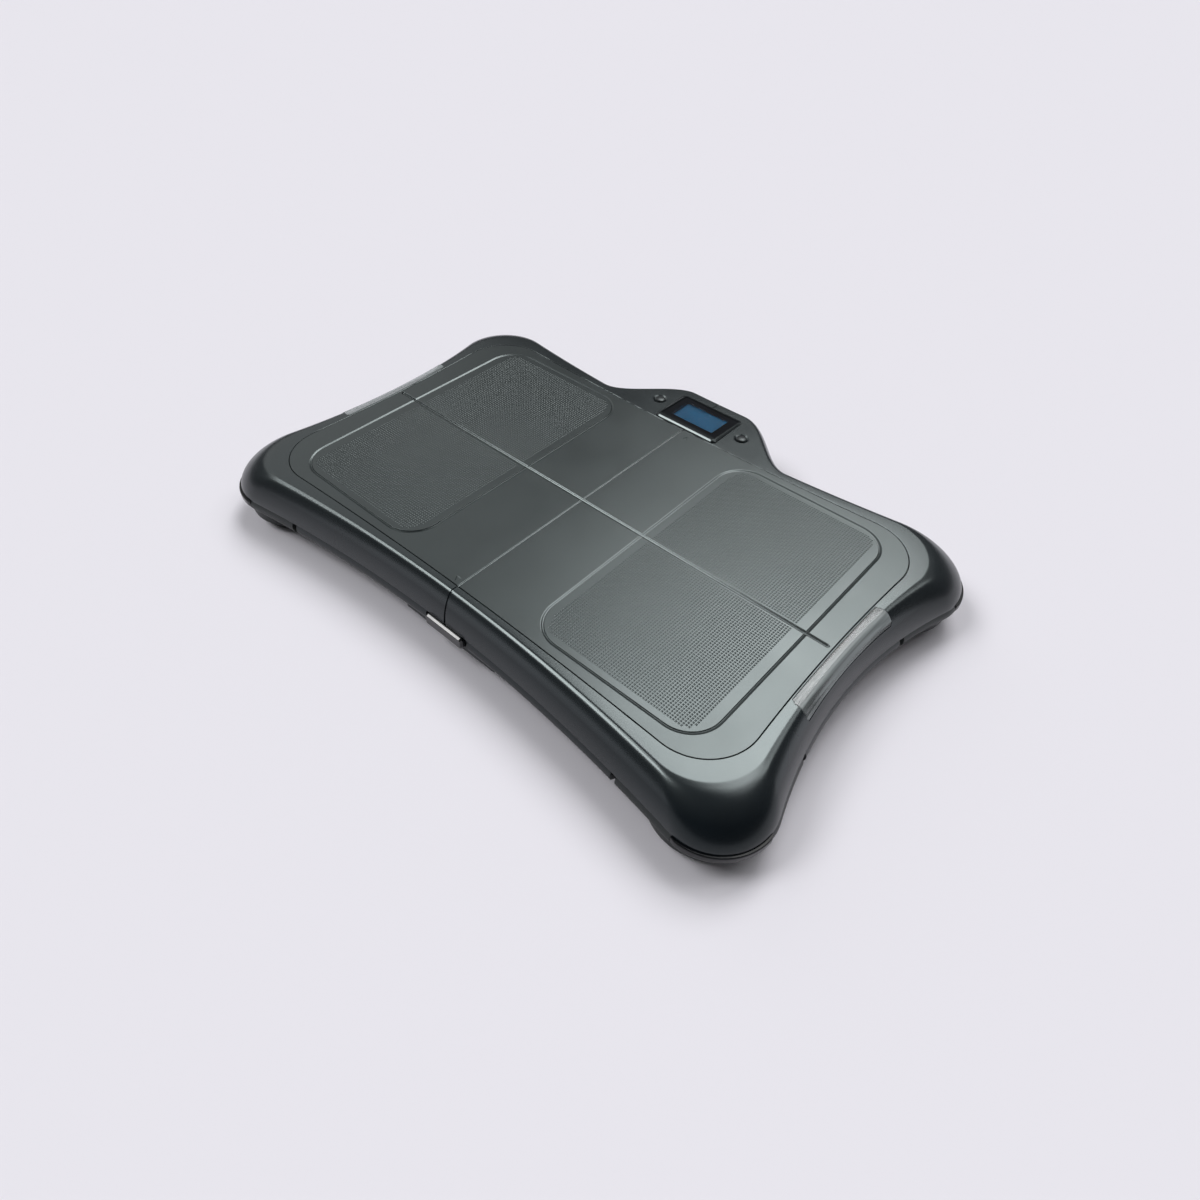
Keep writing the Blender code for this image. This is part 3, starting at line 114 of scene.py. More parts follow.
# Grooves and dimples of the standing panel
PANEL_THICK = 0.0030
LEDGE_WIDTH = 0.0100
LEDGE_Z = DECK_Z - PANEL_THICK - GAP
LEDGE_UNDER_Z = LEDGE_Z - WALL
RIM_UNDER_Z = DECK_Z - WALL
LONG_GROOVE = (0.0036, 0.0011)
CENTRE_GROOVE = (0.0020, 0.0005)
PAD_GROOVE = (0.0040, 0.00062)
PAD_STEEPNESS = 2.8
WALL_GROOVE_DEEPER = 1.4
GROOVE_STEPS = 7
GROOVE_LIP = (1.10, 0.40)
GROOVE_EDGE = 0.96
LONG_REACH = SEAM.width - 0.0020
TIP_STEPS = 6
TIP_LEAST = 0.12
PAD_INNER = 0.0596
PAD_OUTER = SEAM.width - 0.0199
PAD_Y = SEAM.depth - 0.0070
PAD_CORNER = 0.0240
DIMPLE_PITCH = 0.00208
DIMPLE_LEVELS = ((0.00070, 0), (0.00058, 0.00016), (0, 0.00031))
DIMPLE_X = (0.0647, 0.1912)
DIMPLE_Y = (0.0026, 0.1140)
DIMPLE_CORNER = 0.0140
PLACE_SCALE = 1e7
MARK_SINK = 0.00035
MARK_HALF = 0.0024
MARK_LENGTH = 0.0048
MARK_PLACES = ((-0.0060, -0.1183, -1), (0.0091, 0.1150, 1))

# Side lenses, with the reflector and lamps behind them
LENS_HALF_LENGTH = 0.0535
LENS_START = 0.0017
LENS_END_TURN = math.radians(42)
LENS_CORNER = 0.0024
LENS_BEVEL = 0.0003
LENS_CROWN = 0.00048
LENS_STEPS = 44
RIM_CORE = (0.0060, 0.0200)
BEAD_SHARE = 0.6
BEAD_PLACE = 0.80
BEAD_SPREAD = 0.035
REFLECTOR_DROP = 0.0008
REFLECTOR_THICK = 0.0005
REFLECTOR_TURN = math.radians(33)
REFLECTOR_STEPS = 24
LAMPS = 9
LAMP_HALF = Vector((0.0012, 0.0016))
LAMP_HEIGHT = 0.0008
LAMP_CORNERS = (0.0003, 0.0006)

# Display and keys
DISPLAY_HALF = 0.0310
DISPLAY_DEPTH = 0.0427
DISPLAY_FRONT = SEAM.depth + 0.0012
DISPLAY_REAR = DISPLAY_FRONT + DISPLAY_DEPTH
DISPLAY_CORNER = 0.0040
FRONT_RISE = 0.0022
REAR_RISE = 0.0003
FRAME_SOFT = 0.0018
WINDOW_HALF = 0.0280
WINDOW_FRONT = DISPLAY_FRONT + 0.0052
WINDOW_REAR = DISPLAY_REAR - 0.0019
WINDOW_THICK = 0.0014
WINDOW_SINK = 0.0004
WINDOW_SOFT = 0.00025
WINDOW_REBATE = 0.0014
WINDOW_CORNERS = (0.0009, 0.0007, 0.0006)
VIEW_MARGIN = (0.0068, 0.0052, 0.0058)
PANE_THICK = 0.0003
GLASS_CORNER = 0.0005
GLASS_BEVEL = 0.0003
TRAY_Z = DECK_Z - WINDOW_THICK - 0.0049
KEY_RADIUS = 0.0044
KEY_DISH = 0.0064
KEY_SOFT = 0.0002
KEY_DOME = (0.985, 1.25)
KEY_STEPS = 8
# A bevel with rounded ends: how far in, and how far below the top, as shares
SOFT_EDGE = ((0, 1), (0.03, 0.86), (0.12, 0.74), (0.80, 0.13), (0.90, 0.04), (1, 0))
SOFT_DROP = 0.87
SOFT_RISE_SHARE = 0.7

# The lower wall from its base up, and its inner side down: how far out, and the height
LOWER_SECTION = ((-BASE_IN, BASE_Z), (-BASE_IN + 0.0032, BASE_Z + 0.0012),
                 (-TUCK_IN - 0.0014, TUCK_Z - 0.0004), (-TUCK_IN + 0.0006, TUCK_Z + 0.0012),
                 (0.0001, TUCK_Z + 0.0032), (0.0010, TUCK_Z + 0.0052), (BELLY_OUT, BELLY_Z),
                 (0.0010, BELLY_Z + 0.0024), (0.0002, PARTING_Z - 0.0007),
                 (0, PARTING_Z - FINE_GAP))
INNER_SECTION = ((-WALL, PARTING_Z - FINE_GAP), (BELLY_OUT - WALL, BELLY_Z),
                 (-TUCK_IN - WALL, TUCK_Z + WALL / 2), (-BASE_IN - WALL, FLOOR_Z))

# The battery pod from below: height, half its width, how far back its front is, and its corners
POD_LEVELS = ((POD_Z, 0.0440, 0.0060, 0.0030), (POD_Z + 0.0008, 0.0450, 0.0048, 0.0040),
              (BASE_Z, 0.0500, 0, 0.0060), (TUCK_Z + WALL, 0.0500, 0, 0.0060))
POD_FRONT = -(PARTING.depth - 0.0012)
POCKET_HALF = 0.0414
BLOCK_HALF = (0.0388, 0.0338)
BAY_HALF = (0.03155, 0.02665)
BAY_TOP = 0.0243
COVER_LIP = 0.0010
COVER_NECK = 0.0020
TUBE_RADIUS = 0.0054
TUBE_TOP = 0.0237
SCREW_ROOM = ((0.0042, BASE_Z - WALL), (0.0038, BASE_Z + 0.0006), (0.0038, 0.0197),
              (0.0019, 0.0197), (0.0019, 0.0263))
SYNC_ROOM = ((0.0041, POD_Z - WALL), (0.0041, POD_Z - 0.0001), (0.0033, POD_Z + 0.0008),
             (0.0033, POD_Z + 2 * WALL))

# Feet and bumpers
FOOT_CUT = Vector((0.1663, 0.0656))
FOOT_CHAMFER = (0.0190, 0.0300)
FOOT_GAP = 0.0044
FOOT_STEPS = 8
FOOT_ARC_STEPS = 28
SLOT_DEPTH = 0.0065
CUP_RADIUS = 0.0400
CUP_FOOT_RADIUS = 0.0360
CUP_SECTION = ((CUP_FOOT_RADIUS - 0.0006, 0), (CUP_FOOT_RADIUS, 0.0004),
               (CUP_FOOT_RADIUS + 0.0016, 0.0020), (CUP_RADIUS - GAP, 0.00425),
               (CUP_RADIUS, 0.0085))
BOSS_RADIUS = 0.0085
BORE_RADII = (0.0042, 0.0024)
BORE_SEAT = 0.0031
RUBBER_RADII = (0.0080, 0.0335)
RUBBER_RIBS = (0.0140, 0.0190, 0.0240, 0.0290)
RUBBER_GROOVE = ((0, 0), (0.0004, 0.0007), (0.0012, 0.0007), (0.0016, 0))
BUMPER_OUT = 0.0019
BUMPER_THICK = 0.0026
BUMPER_HEIGHT = 0.0060
BUMPER_TURNS = (math.radians(-2), math.radians(94.6))
BUMPER_STEPS = 40
BUMPER_PULL = 0.0007
BUMPER_SECTION = ((0, 0), (0.55, 0), (0.78, 0.03), (0.93, 0.11), (1, 0.25), (1, 0.78),
                  (0.94, 0.92), (0.80, 0.99), (0.70, 1), (0, 1))
SQUARE = ((0, 0), (1, 0), (1, 1), (0, 1))

# The power bar
BUTTON_HALF = 0.0188
BUTTON_SLOT = 0.0005
BUTTON_RECESS = 0.0013
BUTTON_RECESS_DEPTH = 0.0024
BUTTON_NOTCH = 0.0042
BUTTON_TOP = PARTING_Z - 0.0008
BUTTON_LOW = BUTTON_TOP - 0.0097
BUTTON_SEAT = -PARTING.depth + 0.0046 - GAP
BUTTON_FRAME = BUTTON_HALF + 0.0019 + WALL
BUTTON_CORNERS = (0.0024, 0.0020)
BUTTON_SOFT = 0.0020
BUTTON_PULL = 0.55

# Screws as the height of the head and the radius of the shank, and the battery cover's grip
FOOT_SCREW = (0.0025, 0.0020)
SHELL_SCREW = (0.0020, 0.0015)
HEAD_SECTION = ((0.86, 0), (0.97, 0.18), (1, 0.45), (1, 1))
CROSS_WIDE = 0.62
CROSS_THIN = 0.13
CROSS_DEEP = 0.7
CROSS_START = 0.0005
SCREW_TIP = 0.0006
THREAD_CORE = 0.84
THREAD_PITCH = 0.0009
THREAD_START = 0.0004
THREAD_ENDS = 0.0012
GRIP_RIDGES = 6
GRIP_START = 0.0070
GRIP_PITCH = 0.0022
GRIP_HALF = 0.0110
GRIP_TAPER = 0.0007
GRIP_SECTION = ((-0.0007, -0.0002), (0.0007, -0.0002), (0.0004, 0.0006), (-0.0004, 0.0006))


# Outlines

def unit(turn):
    """The direction at an angle."""
    return Vector((math.cos(turn), math.sin(turn)))


def bump(edge, x):
    """How far the rear edge stands out behind the display, at x."""
    share = min(max((abs(x) - edge.flat) / (edge.end - edge.flat), 0), 1)
    return edge.bump * (1 - share * share * (3 - 2 * share))


def long_side(edge, x):
    """Distance of the front edge from the middle line, at x."""
    return edge.depth + edge.depth_bow * (x / edge.width) ** 2


def short_side(edge, y):
    """Distance of a side edge from the middle line, at y."""
    return edge.width + edge.width_bow * (y / edge.depth) ** 2


def slopes(edge, x, y):
    """How fast the front edge moves out with x, and a side edge with y."""
    return 2 * edge.depth_bow * x / edge.width ** 2, 2 * edge.width_bow * y / edge.depth ** 2


def corner_fit(edge):
    """The corner arc: its centre, where it meets the long and the short side, and its turns."""
    x = edge.width - edge.corner
    y = edge.depth - edge.corner
    for _ in range(FIT_ROUNDS):
        along, across = slopes(edge, x, y)
        long_norm = math.hypot(1, along)
        short_norm = math.hypot(1, across)
        centre_x = short_side(edge, y) - edge.corner / short_norm
        centre_y = long_side(edge, x) - edge.corner / long_norm
        x = centre_x - edge.corner * along / long_norm
        y = centre_y - edge.corner * across / short_norm
    along, across = slopes(edge, x, y)
    return Corner(Vector((centre_x, centre_y)), x, y, -math.atan(across),
                  math.pi / 2 + math.atan(along))


def arc_points(edge, distance, steps):
    """Points of one corner arc, moved out by a distance, from the short side to the long side."""
    fit = corner_fit(edge)
    turns = [fit.start + (fit.end - fit.start) * k / steps for k in range(steps + 1)]
    return [fit.centre + (edge.corner + distance) * unit(turn) for turn in turns]


def quarter(edge, with_bump):
    """One quarter of the outline, from the side's middle to the long side's middle."""
    fit = corner_fit(edge)
    points = []
    for k in range(SIDE_STEPS):
        y = fit.y * k / SIDE_STEPS
        points.append(Vector((short_side(edge, y), y)))
    points += arc_points(edge, 0, ARC_STEPS)
    spans = ((fit.x, 0, FRONT_STEPS),)
    if with_bump:
        spans = ((fit.x, edge.end, PLAIN_STEPS), (edge.end, edge.flat, BUMP_STEPS),
                 (edge.flat, 0, FLAT_STEPS))
    for first, last, steps in spans:
        for k in range(1, steps + 1):
            x = first + (last - first) * k / steps
            rise = bump(edge, x) if with_bump else 0
            points.append(Vector((x, long_side(edge, x) + rise)))
    return points


def outline(edge):
    """The whole outline, anticlockwise from the middle of the right side."""
    rear = quarter(edge, True)
    front = quarter(edge, False)
    return (rear + [Vector((-p.x, p.y)) for p in reversed(rear[:-1])]
            + [Vector((-p.x, -p.y)) for p in front[1:]]
            + [Vector((p.x, -p.y)) for p in reversed(front[1:-1])])


def grow(points, distance):
    """The closed outline moved out by a distance, or in by a negative one."""
    moved = []
    for i, point in enumerate(points):
        along = points[(i + 1) % len(points)] - points[i - 1]
        moved.append(point + distance * Vector((along.y, -along.x)).normalized())
    return moved


def level(points, z):
    """An outline laid flat at one height."""
    return [Vector((p[0], p[1], z)) for p in points]


def upright(points, y):
    """An outline of (x, z) points stood up at one y."""
    return [Vector((p[0], y, p[1])) for p in points]


def rim_at(turn):
    """How far out the rounded rim is, as a share, and its height, at a turn up to 90 degrees."""
    out = math.sin(turn) ** (2 / RIM_POWER)
    down = 1 - max(math.cos(turn), 0) ** (2 / RIM_POWER)
    ease = RIM_EASE * math.exp(-((out - RIM_EASE_PLACE) / RIM_EASE_SPREAD) ** 2)
    return out, DECK_Z - RIM_HEIGHT * (down + ease)


def round_rect(low, high, radius, steps=8):
    """A rectangle with round corners, anticlockwise."""
    left, front = low[0] + radius, low[1] + radius
    right, rear = high[0] - radius, high[1] - radius
    inner = ((right, rear), (left, rear), (left, front), (right, front))
    return [Vector(middle) + radius * unit(math.pi / 2 * (first + k / steps))
            for first, middle in enumerate(inner) for k in range(steps + 1)]


def circle(radius, x, y, steps):
    """A circle of points, anticlockwise."""
    turns = [2 * math.pi * k / steps for k in range(steps)]
    return [Vector((x + radius * math.cos(a), y + radius * math.sin(a))) for a in turns]


# Meshes

ADD = "UNION"
CUT = "DIFFERENCE"


def loft(rings, closed=False):
    """A solid through rings of points, which may close on themselves."""
    bm = bmesh.new()
    rows = [[bm.verts.new(p) for p in ring] for ring in rings]
    for lower, upper in zip(rows, rows[1:] + (rows[:1] if closed else [])):
        for i in range(len(lower)):
            j = (i + 1) % len(lower)
            bm.faces.new((lower[i], lower[j], upper[j], upper[i]))
    if not closed:
        bm.faces.new(list(reversed(rows[0])))
        bm.faces.new(rows[-1])
    return bm


def prism(points, low, high):
    """An outline raised from one height to another."""
    return loft([level(points, low), level(points, high)])


def box(low, high):
    """A box between two corners, for cutters and small blocks."""
    return prism((low, (high[0], low[1]), high, (low[0], high[1])), low[2], high[2])


def turned(profile, middle, steps=32, closed=False):
    """A solid of revolution about a vertical axis, from (radius, height) pairs."""
    return loft([level(circle(r, middle.x, middle.y, steps), z) for r, z in profile], closed)


def mesh_of(name, bm):
    """A mesh that takes over what is in bm."""
    made = bpy.data.meshes.new(name)
    bm.to_mesh(made)
    bm.free()
    return made


def in_scene(name, data):
    """A new object of the scene, for a mesh, a lamp or a camera."""
    made = bpy.data.objects.new(name, data)
    bpy.context.scene.collection.objects.link(made)
    return made


def together(meshes):
    """Several bodies that don't touch, in one mesh."""
    merged = bmesh.new()
    for part in meshes:
        scratch = mesh_of("scratch", part)
        merged.from_mesh(scratch)
        bpy.data.meshes.remove(scratch)
    return merged


def carved(bm, *steps):
    """A mesh after Booleans: ADD or CUT, each with the tools that follow it."""
    objects = []
    for step in (bm, *steps):
        if isinstance(step, str):
            operation = step
            continue
        bmesh.ops.recalc_face_normals(step, faces=step.faces)
        objects.append(in_scene("stand_in", mesh_of("stand_in", step)))
        if len(objects) > 1:
            change = objects[0].modifiers.new("step", "BOOLEAN")
            change.operation = operation
            change.object = objects[-1]
            change.solver = "EXACT"
    bpy.context.view_layer.update()
    made = bmesh.new()
    made.from_object(objects[0], bpy.context.evaluated_depsgraph_get())
    for old in objects:
        mesh = old.data
        bpy.data.objects.remove(old, do_unlink=True)
        bpy.data.meshes.remove(mesh)
    return made


def mirrored(bm, sign_x, sign_y):
    """A mesh taken from the quarter where x and y are positive into another one."""
    bmesh.ops.scale(bm, vec=Vector((sign_x, sign_y, 1)), verts=bm.verts)
    return bm


def piece(name, bm, slot, instead=None, body="board", angle=35, look=None):
    """A visible piece: rides on a body, takes a slot's finish and may stand for a CAD node."""
    bmesh.ops.recalc_face_normals(bm, faces=bm.faces)
    bmesh.ops.translate(bm, verts=bm.verts, vec=Vector((0, MIDDLE_Y, 0)))
    mesh = mesh_of(name, bm)
    mesh.materials.append(LOOKS[look or slot])
    mesh.shade_smooth()
    mesh.set_sharp_from_angle(angle=math.radians(angle))
    made = in_scene(name, mesh)
    made.modifiers.new("normals", "WEIGHTED_NORMAL").keep_sharp = True
    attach(made, body)
    if instead:
        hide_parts(instead)
    return made


def at_corners(make):
    """What make gives for the quarter where x and y are positive, at all four corners."""
    return together([mirrored(make(), sign_x, sign_y) for _, sign_x, sign_y in CORNERS])


def node_box(node):
    """A node's low corner, high corner and middle, in the frame that shapes are made in."""
    low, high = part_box(node)
    middle = [(a + b) / 2 for a, b in zip(low, high)]
    return [Vector((x, y - MIDDLE_Y, z)) for x, y, z in (low, high, middle)]


# Materials

SPECULAR_TINT = (0.88, 1, 1)
# Painted shade on the shell's lower walls: their reflections fall to a share of full, between two
# depths below the deck.
WALL_SHADE_START = 0.0040
WALL_SHADE_FULL = 0.0110
WALL_SHADE_SHARE = 0.31
RAMP_ENDS = (0.3, 0.7)
CLEAR_IOR = 1.49
CELL = 0.00042
CELL_LINE = 0.00003


def feed(tree, node, inputs):
    """Links a node's inputs to the sockets given, and sets the others to the values given."""
    for key, given in inputs.items():
        if isinstance(given, bpy.types.NodeSocket):
            tree.links.new(given, node.inputs[key])
        else:
            node.inputs[key].default_value = given


def new_node(tree, kind, **inputs):
    """A shader node. An input's name has _ where the socket's name has a space."""
    made = tree.nodes.new("ShaderNode" + kind)
    feed(tree, made, {key.replace("_", " "): given for key, given in inputs.items()})
    return made


def new_look(name, values):
    """A Principled material with its plain values, its node tree and its shader."""
    made = bpy.data.materials.new(name)
    made.use_nodes = True
    shader = made.node_tree.nodes["Principled BSDF"]
    feed(made.node_tree, shader, values)
    return made, made.node_tree, shader


def object_place(tree):
    """Places on the object, in metres."""
    return new_node(tree, "TexCoord").outputs["Object"]


def noise(tree, size, detail, stretch=(1, 1, 1)):
    """Noise whose grains are about size metres, longer where stretch is over 1."""
    scaled = new_node(tree, "Mapping", Vector=object_place(tree),
                      Scale=[1 / (size * s) for s in stretch]).outputs["Vector"]
    return new_node(tree, "TexNoise", Vector=scaled, Scale=1, Detail=detail).outputs["Fac"]


def ranged(tree, value, low, high, near=RAMP_ENDS[0], far=RAMP_ENDS[1]):
    """A value from near to far, mapped to low to high."""
    return new_node(tree, "MapRange", Value=value, From_Min=near, From_Max=far, To_Min=low,
                    To_Max=high).outputs["Result"]


def tinted(tree, value, colours, places=RAMP_ENDS):
    """A ramp of colours at places along a value."""
    made = new_node(tree, "ValToRGB", Fac=value)
    ramp = made.color_ramp
    while len(ramp.elements) < len(colours):
        ramp.elements.new(0.5)
    for element, position, colour in zip(ramp.elements, places, colours):
        element.position = position
        element.color = (*colour, 1)
    return made.outputs["Color"]


def relief(tree, value, depth):
    """The normal of a relief of a depth in metres."""
    return new_node(tree, "Bump", Height=value, Distance=depth, Strength=1).outputs["Normal"]


def scaled_colour(colour, factor):
    """A colour made lighter or darker."""
    return tuple(min(c * factor, 1) for c in colour)


def uneven(look, colour, factors, tone, roughness, gloss, depth, fine, places=RAMP_ENDS):
    """Uneven tone and gloss, and relief, each from a noise's size, detail and stretch."""
    made, tree, shader = look
    colours = [scaled_colour(colour, factor) for factor in factors]
    feed(tree, shader, {"Base Color": tinted(tree, noise(tree, *tone), colours, places),
                        "Roughness": ranged(tree, noise(tree, *gloss), *roughness),
                        "Normal": relief(tree, noise(tree, *fine), depth)})
    return made


def painted_wall_shade(tree):
    """Specular tint by height: full at the deck, dimmed on the lower walls as painted shade on
    their reflections.
    """
    split = new_node(tree, "SeparateXYZ", Vector=object_place(tree))
    height = ranged(tree, split.outputs["Z"], 0, 1, DECK_Z - WALL_SHADE_FULL, DECK_Z - WALL_SHADE_START)
    shaded_tint = scaled_colour(SPECULAR_TINT, WALL_SHADE_SHARE)
    return tinted(tree, height, (shaded_tint, SPECULAR_TINT), (0, 1))


def moulded(name, colour, roughness, grain, depth, mottle=0.10, specular=0.5, shade_walls=False):
    """Grained moulded plastic: fine relief, slightly uneven tone and gloss; its last option adds
    painted shade that dims the reflections of the lower walls.
    """
    look = new_look(name, {"Specular IOR Level": specular, "Specular Tint": (*SPECULAR_TINT, 1)})
    if shade_walls:
        feed(look[1], look[2], {"Specular Tint": painted_wall_shade(look[1])})
    return uneven(look, colour, (1 - mottle, 1 + mottle), (0.030, 3),
                  (roughness - 0.02, roughness + 0.02), (0.050, 3), depth, (grain, 1))


def glossy(name, colour, roughness, specular=0.5, tint=1):
    """Polished plastic with faint handling marks in its gloss."""
    look = new_look(name, {"Specular IOR Level": specular, "Specular Tint": (*[tint] * 3, 1)})
    return uneven(look, colour, (0.8, 1.2), (0.012, 4), (roughness * 0.6, roughness * 1.6),
                  (0.006, 6), 0.000004, (0.004, 1), (0.35, 0.65))


def metal(name, colour, roughness, stretch):
    """Bare metal with a brushed or plated grain."""
    return uneven(new_look(name, {"Metallic": 1}), colour, (0.85, 1.1), (0.0015, 3, stretch),
                  (roughness * 0.7, roughness * 1.4), (0.0008, 4, stretch),
                  0.00001, (0.0006, 2, stretch))


def clear(name, colour, roughness, cover=1, flow_lines_and_painted_streaks=0.02):
    """Clear plastic with streaks in its tone: faint ones are flow lines, strong ones are painted
    reflection streaks. Where it doesn't cover all, light passes straight through.
    """
    look = new_look(name, {"Transmission Weight": 1 if cover == 1 else 0, "Alpha": cover,
                           "IOR": CLEAR_IOR})
    lines = (0.0030, 1, (1, 40, 1))
    return uneven(look, colour, (1 - flow_lines_and_painted_streaks, 1 + flow_lines_and_painted_streaks), lines,
                  (roughness * 0.8, roughness * 1.2), (0.020, 2), 0.000002, lines)


def screen(name):
    """An unlit blue display: slow change of tone, and the faint grid of its cells."""
    made, tree, shader = new_look(name, {"Roughness": 0.25})
    grid = new_node(tree, "TexBrick", Vector=object_place(tree), Scale=1, Brick_Width=CELL,
                    Row_Height=CELL, Mortar_Size=CELL_LINE, Mortar_Smooth=0.3,
                    Color1=(0.009, 0.172, 0.390, 1), Color2=(0.008, 0.158, 0.365, 1),
                    Mortar=(0.006, 0.110, 0.250, 1))
    grid.offset = 0
    mix = new_node(tree, "Mix", Factor=1)
    mix.data_type = "RGBA"
    mix.blend_type = "MULTIPLY"
    tone = tinted(tree, noise(tree, 0.050, 1), ((0.75, 0.85, 0.85), (1, 1, 1)))
    feed(tree, mix, {6: grid.outputs["Color"], 7: tone})
    feed(tree, shader, {"Base Color": mix.outputs[2]})
    return made


def board_look(name):
    """Solder mask over copper tracks."""
    made, tree, shader = new_look(name, {"Roughness": 0.45})
    cells = new_node(tree, "TexVoronoi", Vector=object_place(tree), Scale=380)
    cells.distance = "MANHATTAN"
    tracks = cells.outputs["Distance"]
    mask = (0.020, 0.110, 0.050)
    colours = ((0.012, 0.060, 0.028), mask, (0.034, 0.160, 0.075), mask)
    feed(tree, shader, {"Base Color": tinted(tree, tracks, colours, (0.10, 0.34, 0.36, 0.46)),
                        "Normal": relief(tree, tracks, 0.00002)})
    return made


# The slots' finishes, and after them those of single pieces that differ from their slot's
DECK_COLOUR = (0.0090, 0.0125, 0.0135)
POLISHED_COLOUR = (0.0050, 0.0060, 0.0075)
LOOKS = {
    # The shell's lower walls carry painted shade: their reflections are dimmed below the deck's
    # height.
    "shell_plastic": moulded("moulded_shell", (0.0035, 0.0060, 0.0085), 0.26, 0.00065, 0.000012,
                             0.15, 1, True),
    "deck_plastic": moulded("moulded_deck", DECK_COLOUR, 0.31, 0.00060, 0.000012, 0.15, 1),
    "foot_plastic": moulded("moulded_foot", (0.0160, 0.0180, 0.0175), 0.40, 0.00090, 0.00001,
                            0.15, 0.3),
    "gloss_black": glossy("polished_black", POLISHED_COLOUR, 0.12, 0.85),
    "foot_rubber": moulded("soft_rubber", (0.0200, 0.0200, 0.0200), 0.85, 0.00050, 0.00005, 0.2),
    "zinc_steel": metal("plated_steel", (0.560, 0.570, 0.580), 0.38, (1, 1, 1)),
    "cell_aluminium": metal("drawn_aluminium", (0.720, 0.720, 0.730), 0.34, (14, 1, 1)),
    # The lens's strong light and dark streaks are mostly painted reflections, over faint flow
    # lines.
    "clear_lens": clear("clear_plastic", (0.270, 0.300, 0.305), 0.10, 0.60, 0.65),
    "window_black": glossy("window_ink", (0.0055, 0.0065, 0.0085), 0.06),
    "display_blue": screen("blue_display"),
    "circuit_green": board_look("solder_mask"),
    "switch_black": moulded("switch_housing", (0.0300, 0.0300, 0.0300), 0.55, 0.00040, 0.00002),
    "battery_sleeve": glossy("cell_sleeve", (0.2500, 0.2600, 0.2800), 0.30),
    "sync_red": moulded("red_button", (0.4200, 0.0300, 0.0300), 0.40, 0.00040, 0.00002),
    "groove": moulded("moulded_groove", DECK_COLOUR, 0.20, 0.00060, 0.000006, 0.15, 1),
    "lamp": glossy("lamp_resin", (0.620, 0.600, 0.420), 0.30),
    "reflector": moulded("reflector_paint", (0.360, 0.390, 0.385), 0.45, 0.0009, 0.000004),
    "frame": moulded("moulded_frame", (0.0045, 0.0065, 0.0080), 0.20, 0.00060, 0.000006, 0.15, 1),
    "pane": clear("window_clear", (0.93, 0.95, 0.95), 0.02),
    "key": moulded("key_plastic", (0.0200, 0.0215, 0.0235), 0.30, 0.0006, 0.00001),
    "lower": moulded("moulded_tray", (0.0050, 0.0070, 0.0085), 0.30, 0.0008, 0.000012, 0.15, 0.35),
    "bumper": glossy("bumper_black", POLISHED_COLOUR, 0.16, 0.5, 0.25),
}


# Upper shell

def edge_fillet(points, radius):
    """Rings of an edge rounded outwards up to the deck's height, or inwards if negative."""
    turns = [math.pi / 2 * k / FILLET_STEPS for k in range(FILLET_STEPS + 1)]
    return [level(grow(points, radius * (1 - math.cos(turn))),
                  DECK_Z - abs(radius) * (1 - math.sin(turn))) for turn in turns]


def groove_tool(width, depth, path, closed=False, steepness=1):
    """A cutter with a rounded bottom and soft lips, along (point, sideways, taper) places."""
    half_section = [GROOVE_LIP]
    for k in range(GROOVE_STEPS):
        across = GROOVE_EDGE * (1 - k / GROOVE_STEPS)
        half_section.append((across, -(1 + math.cos(math.pi * across)) / 2))
    shares = [(-s / steepness, d) for s, d in half_section] + [(0, -1)]
    shares += [(s, d) for s, d in reversed(half_section)]
    return loft([[Vector((point.x + sideways.x * s * taper * width / 2,
                          point.y + sideways.y * s * taper * width / 2, DECK_Z + d * depth))
                  for s, d in shares] for point, sideways, taper in path], closed)


def straight_path(end, radius):
    """Places along a straight groove between -end and end, drawn in to round tips of a radius."""
    along = end.normalized()
    sideways = Vector((along.y, -along.x))
    if radius == 0:
        return [(-end, sideways, 1), (end, sideways, 1)]
    turns = [math.pi / 2 * k / TIP_STEPS for k in range(TIP_STEPS + 1)]
    tips = [(radius * (1 - math.cos(turn)), max(math.sin(turn), TIP_LEAST)) for turn in turns]
    places = [(along * d - end, sideways, t) for d, t in tips]
    return places + [(end - along * d, sideways, t) for d, t in reversed(tips)]


def wall_groove(side):
    """The cutter for the groove down the middle of the front (-1) or rear (1) wall."""
    half = CENTRE_GROOVE[0] / 2
    reach = SHOULDER.bump if side > 0 else 0
    path = [Vector((SEAM.depth - WALL if side < 0 else DISPLAY_REAR + GAP, DECK_Z))]
    for out, z in map(rim_at, RIM_TURNS):
        path.append(Vector((SHOULDER.depth + reach + out * (PARTING.depth - SHOULDER.depth), z)))
    path.append(path[-1] - Vector((0, WALL)))
    middle = Vector((path[0].x - RIM_HEIGHT, PARTING_Z))
    deep = [p + (middle - p).normalized() * CENTRE_GROOVE[1] * WALL_GROOVE_DEEPER for p in path]
    high = [p - (middle - p).normalized() * CENTRE_GROOVE[1] for p in path]
    section = deep + list(reversed(high))
    return loft([[Vector((x, side * p.x, p.y)) for p in section] for x in (-half, half)])


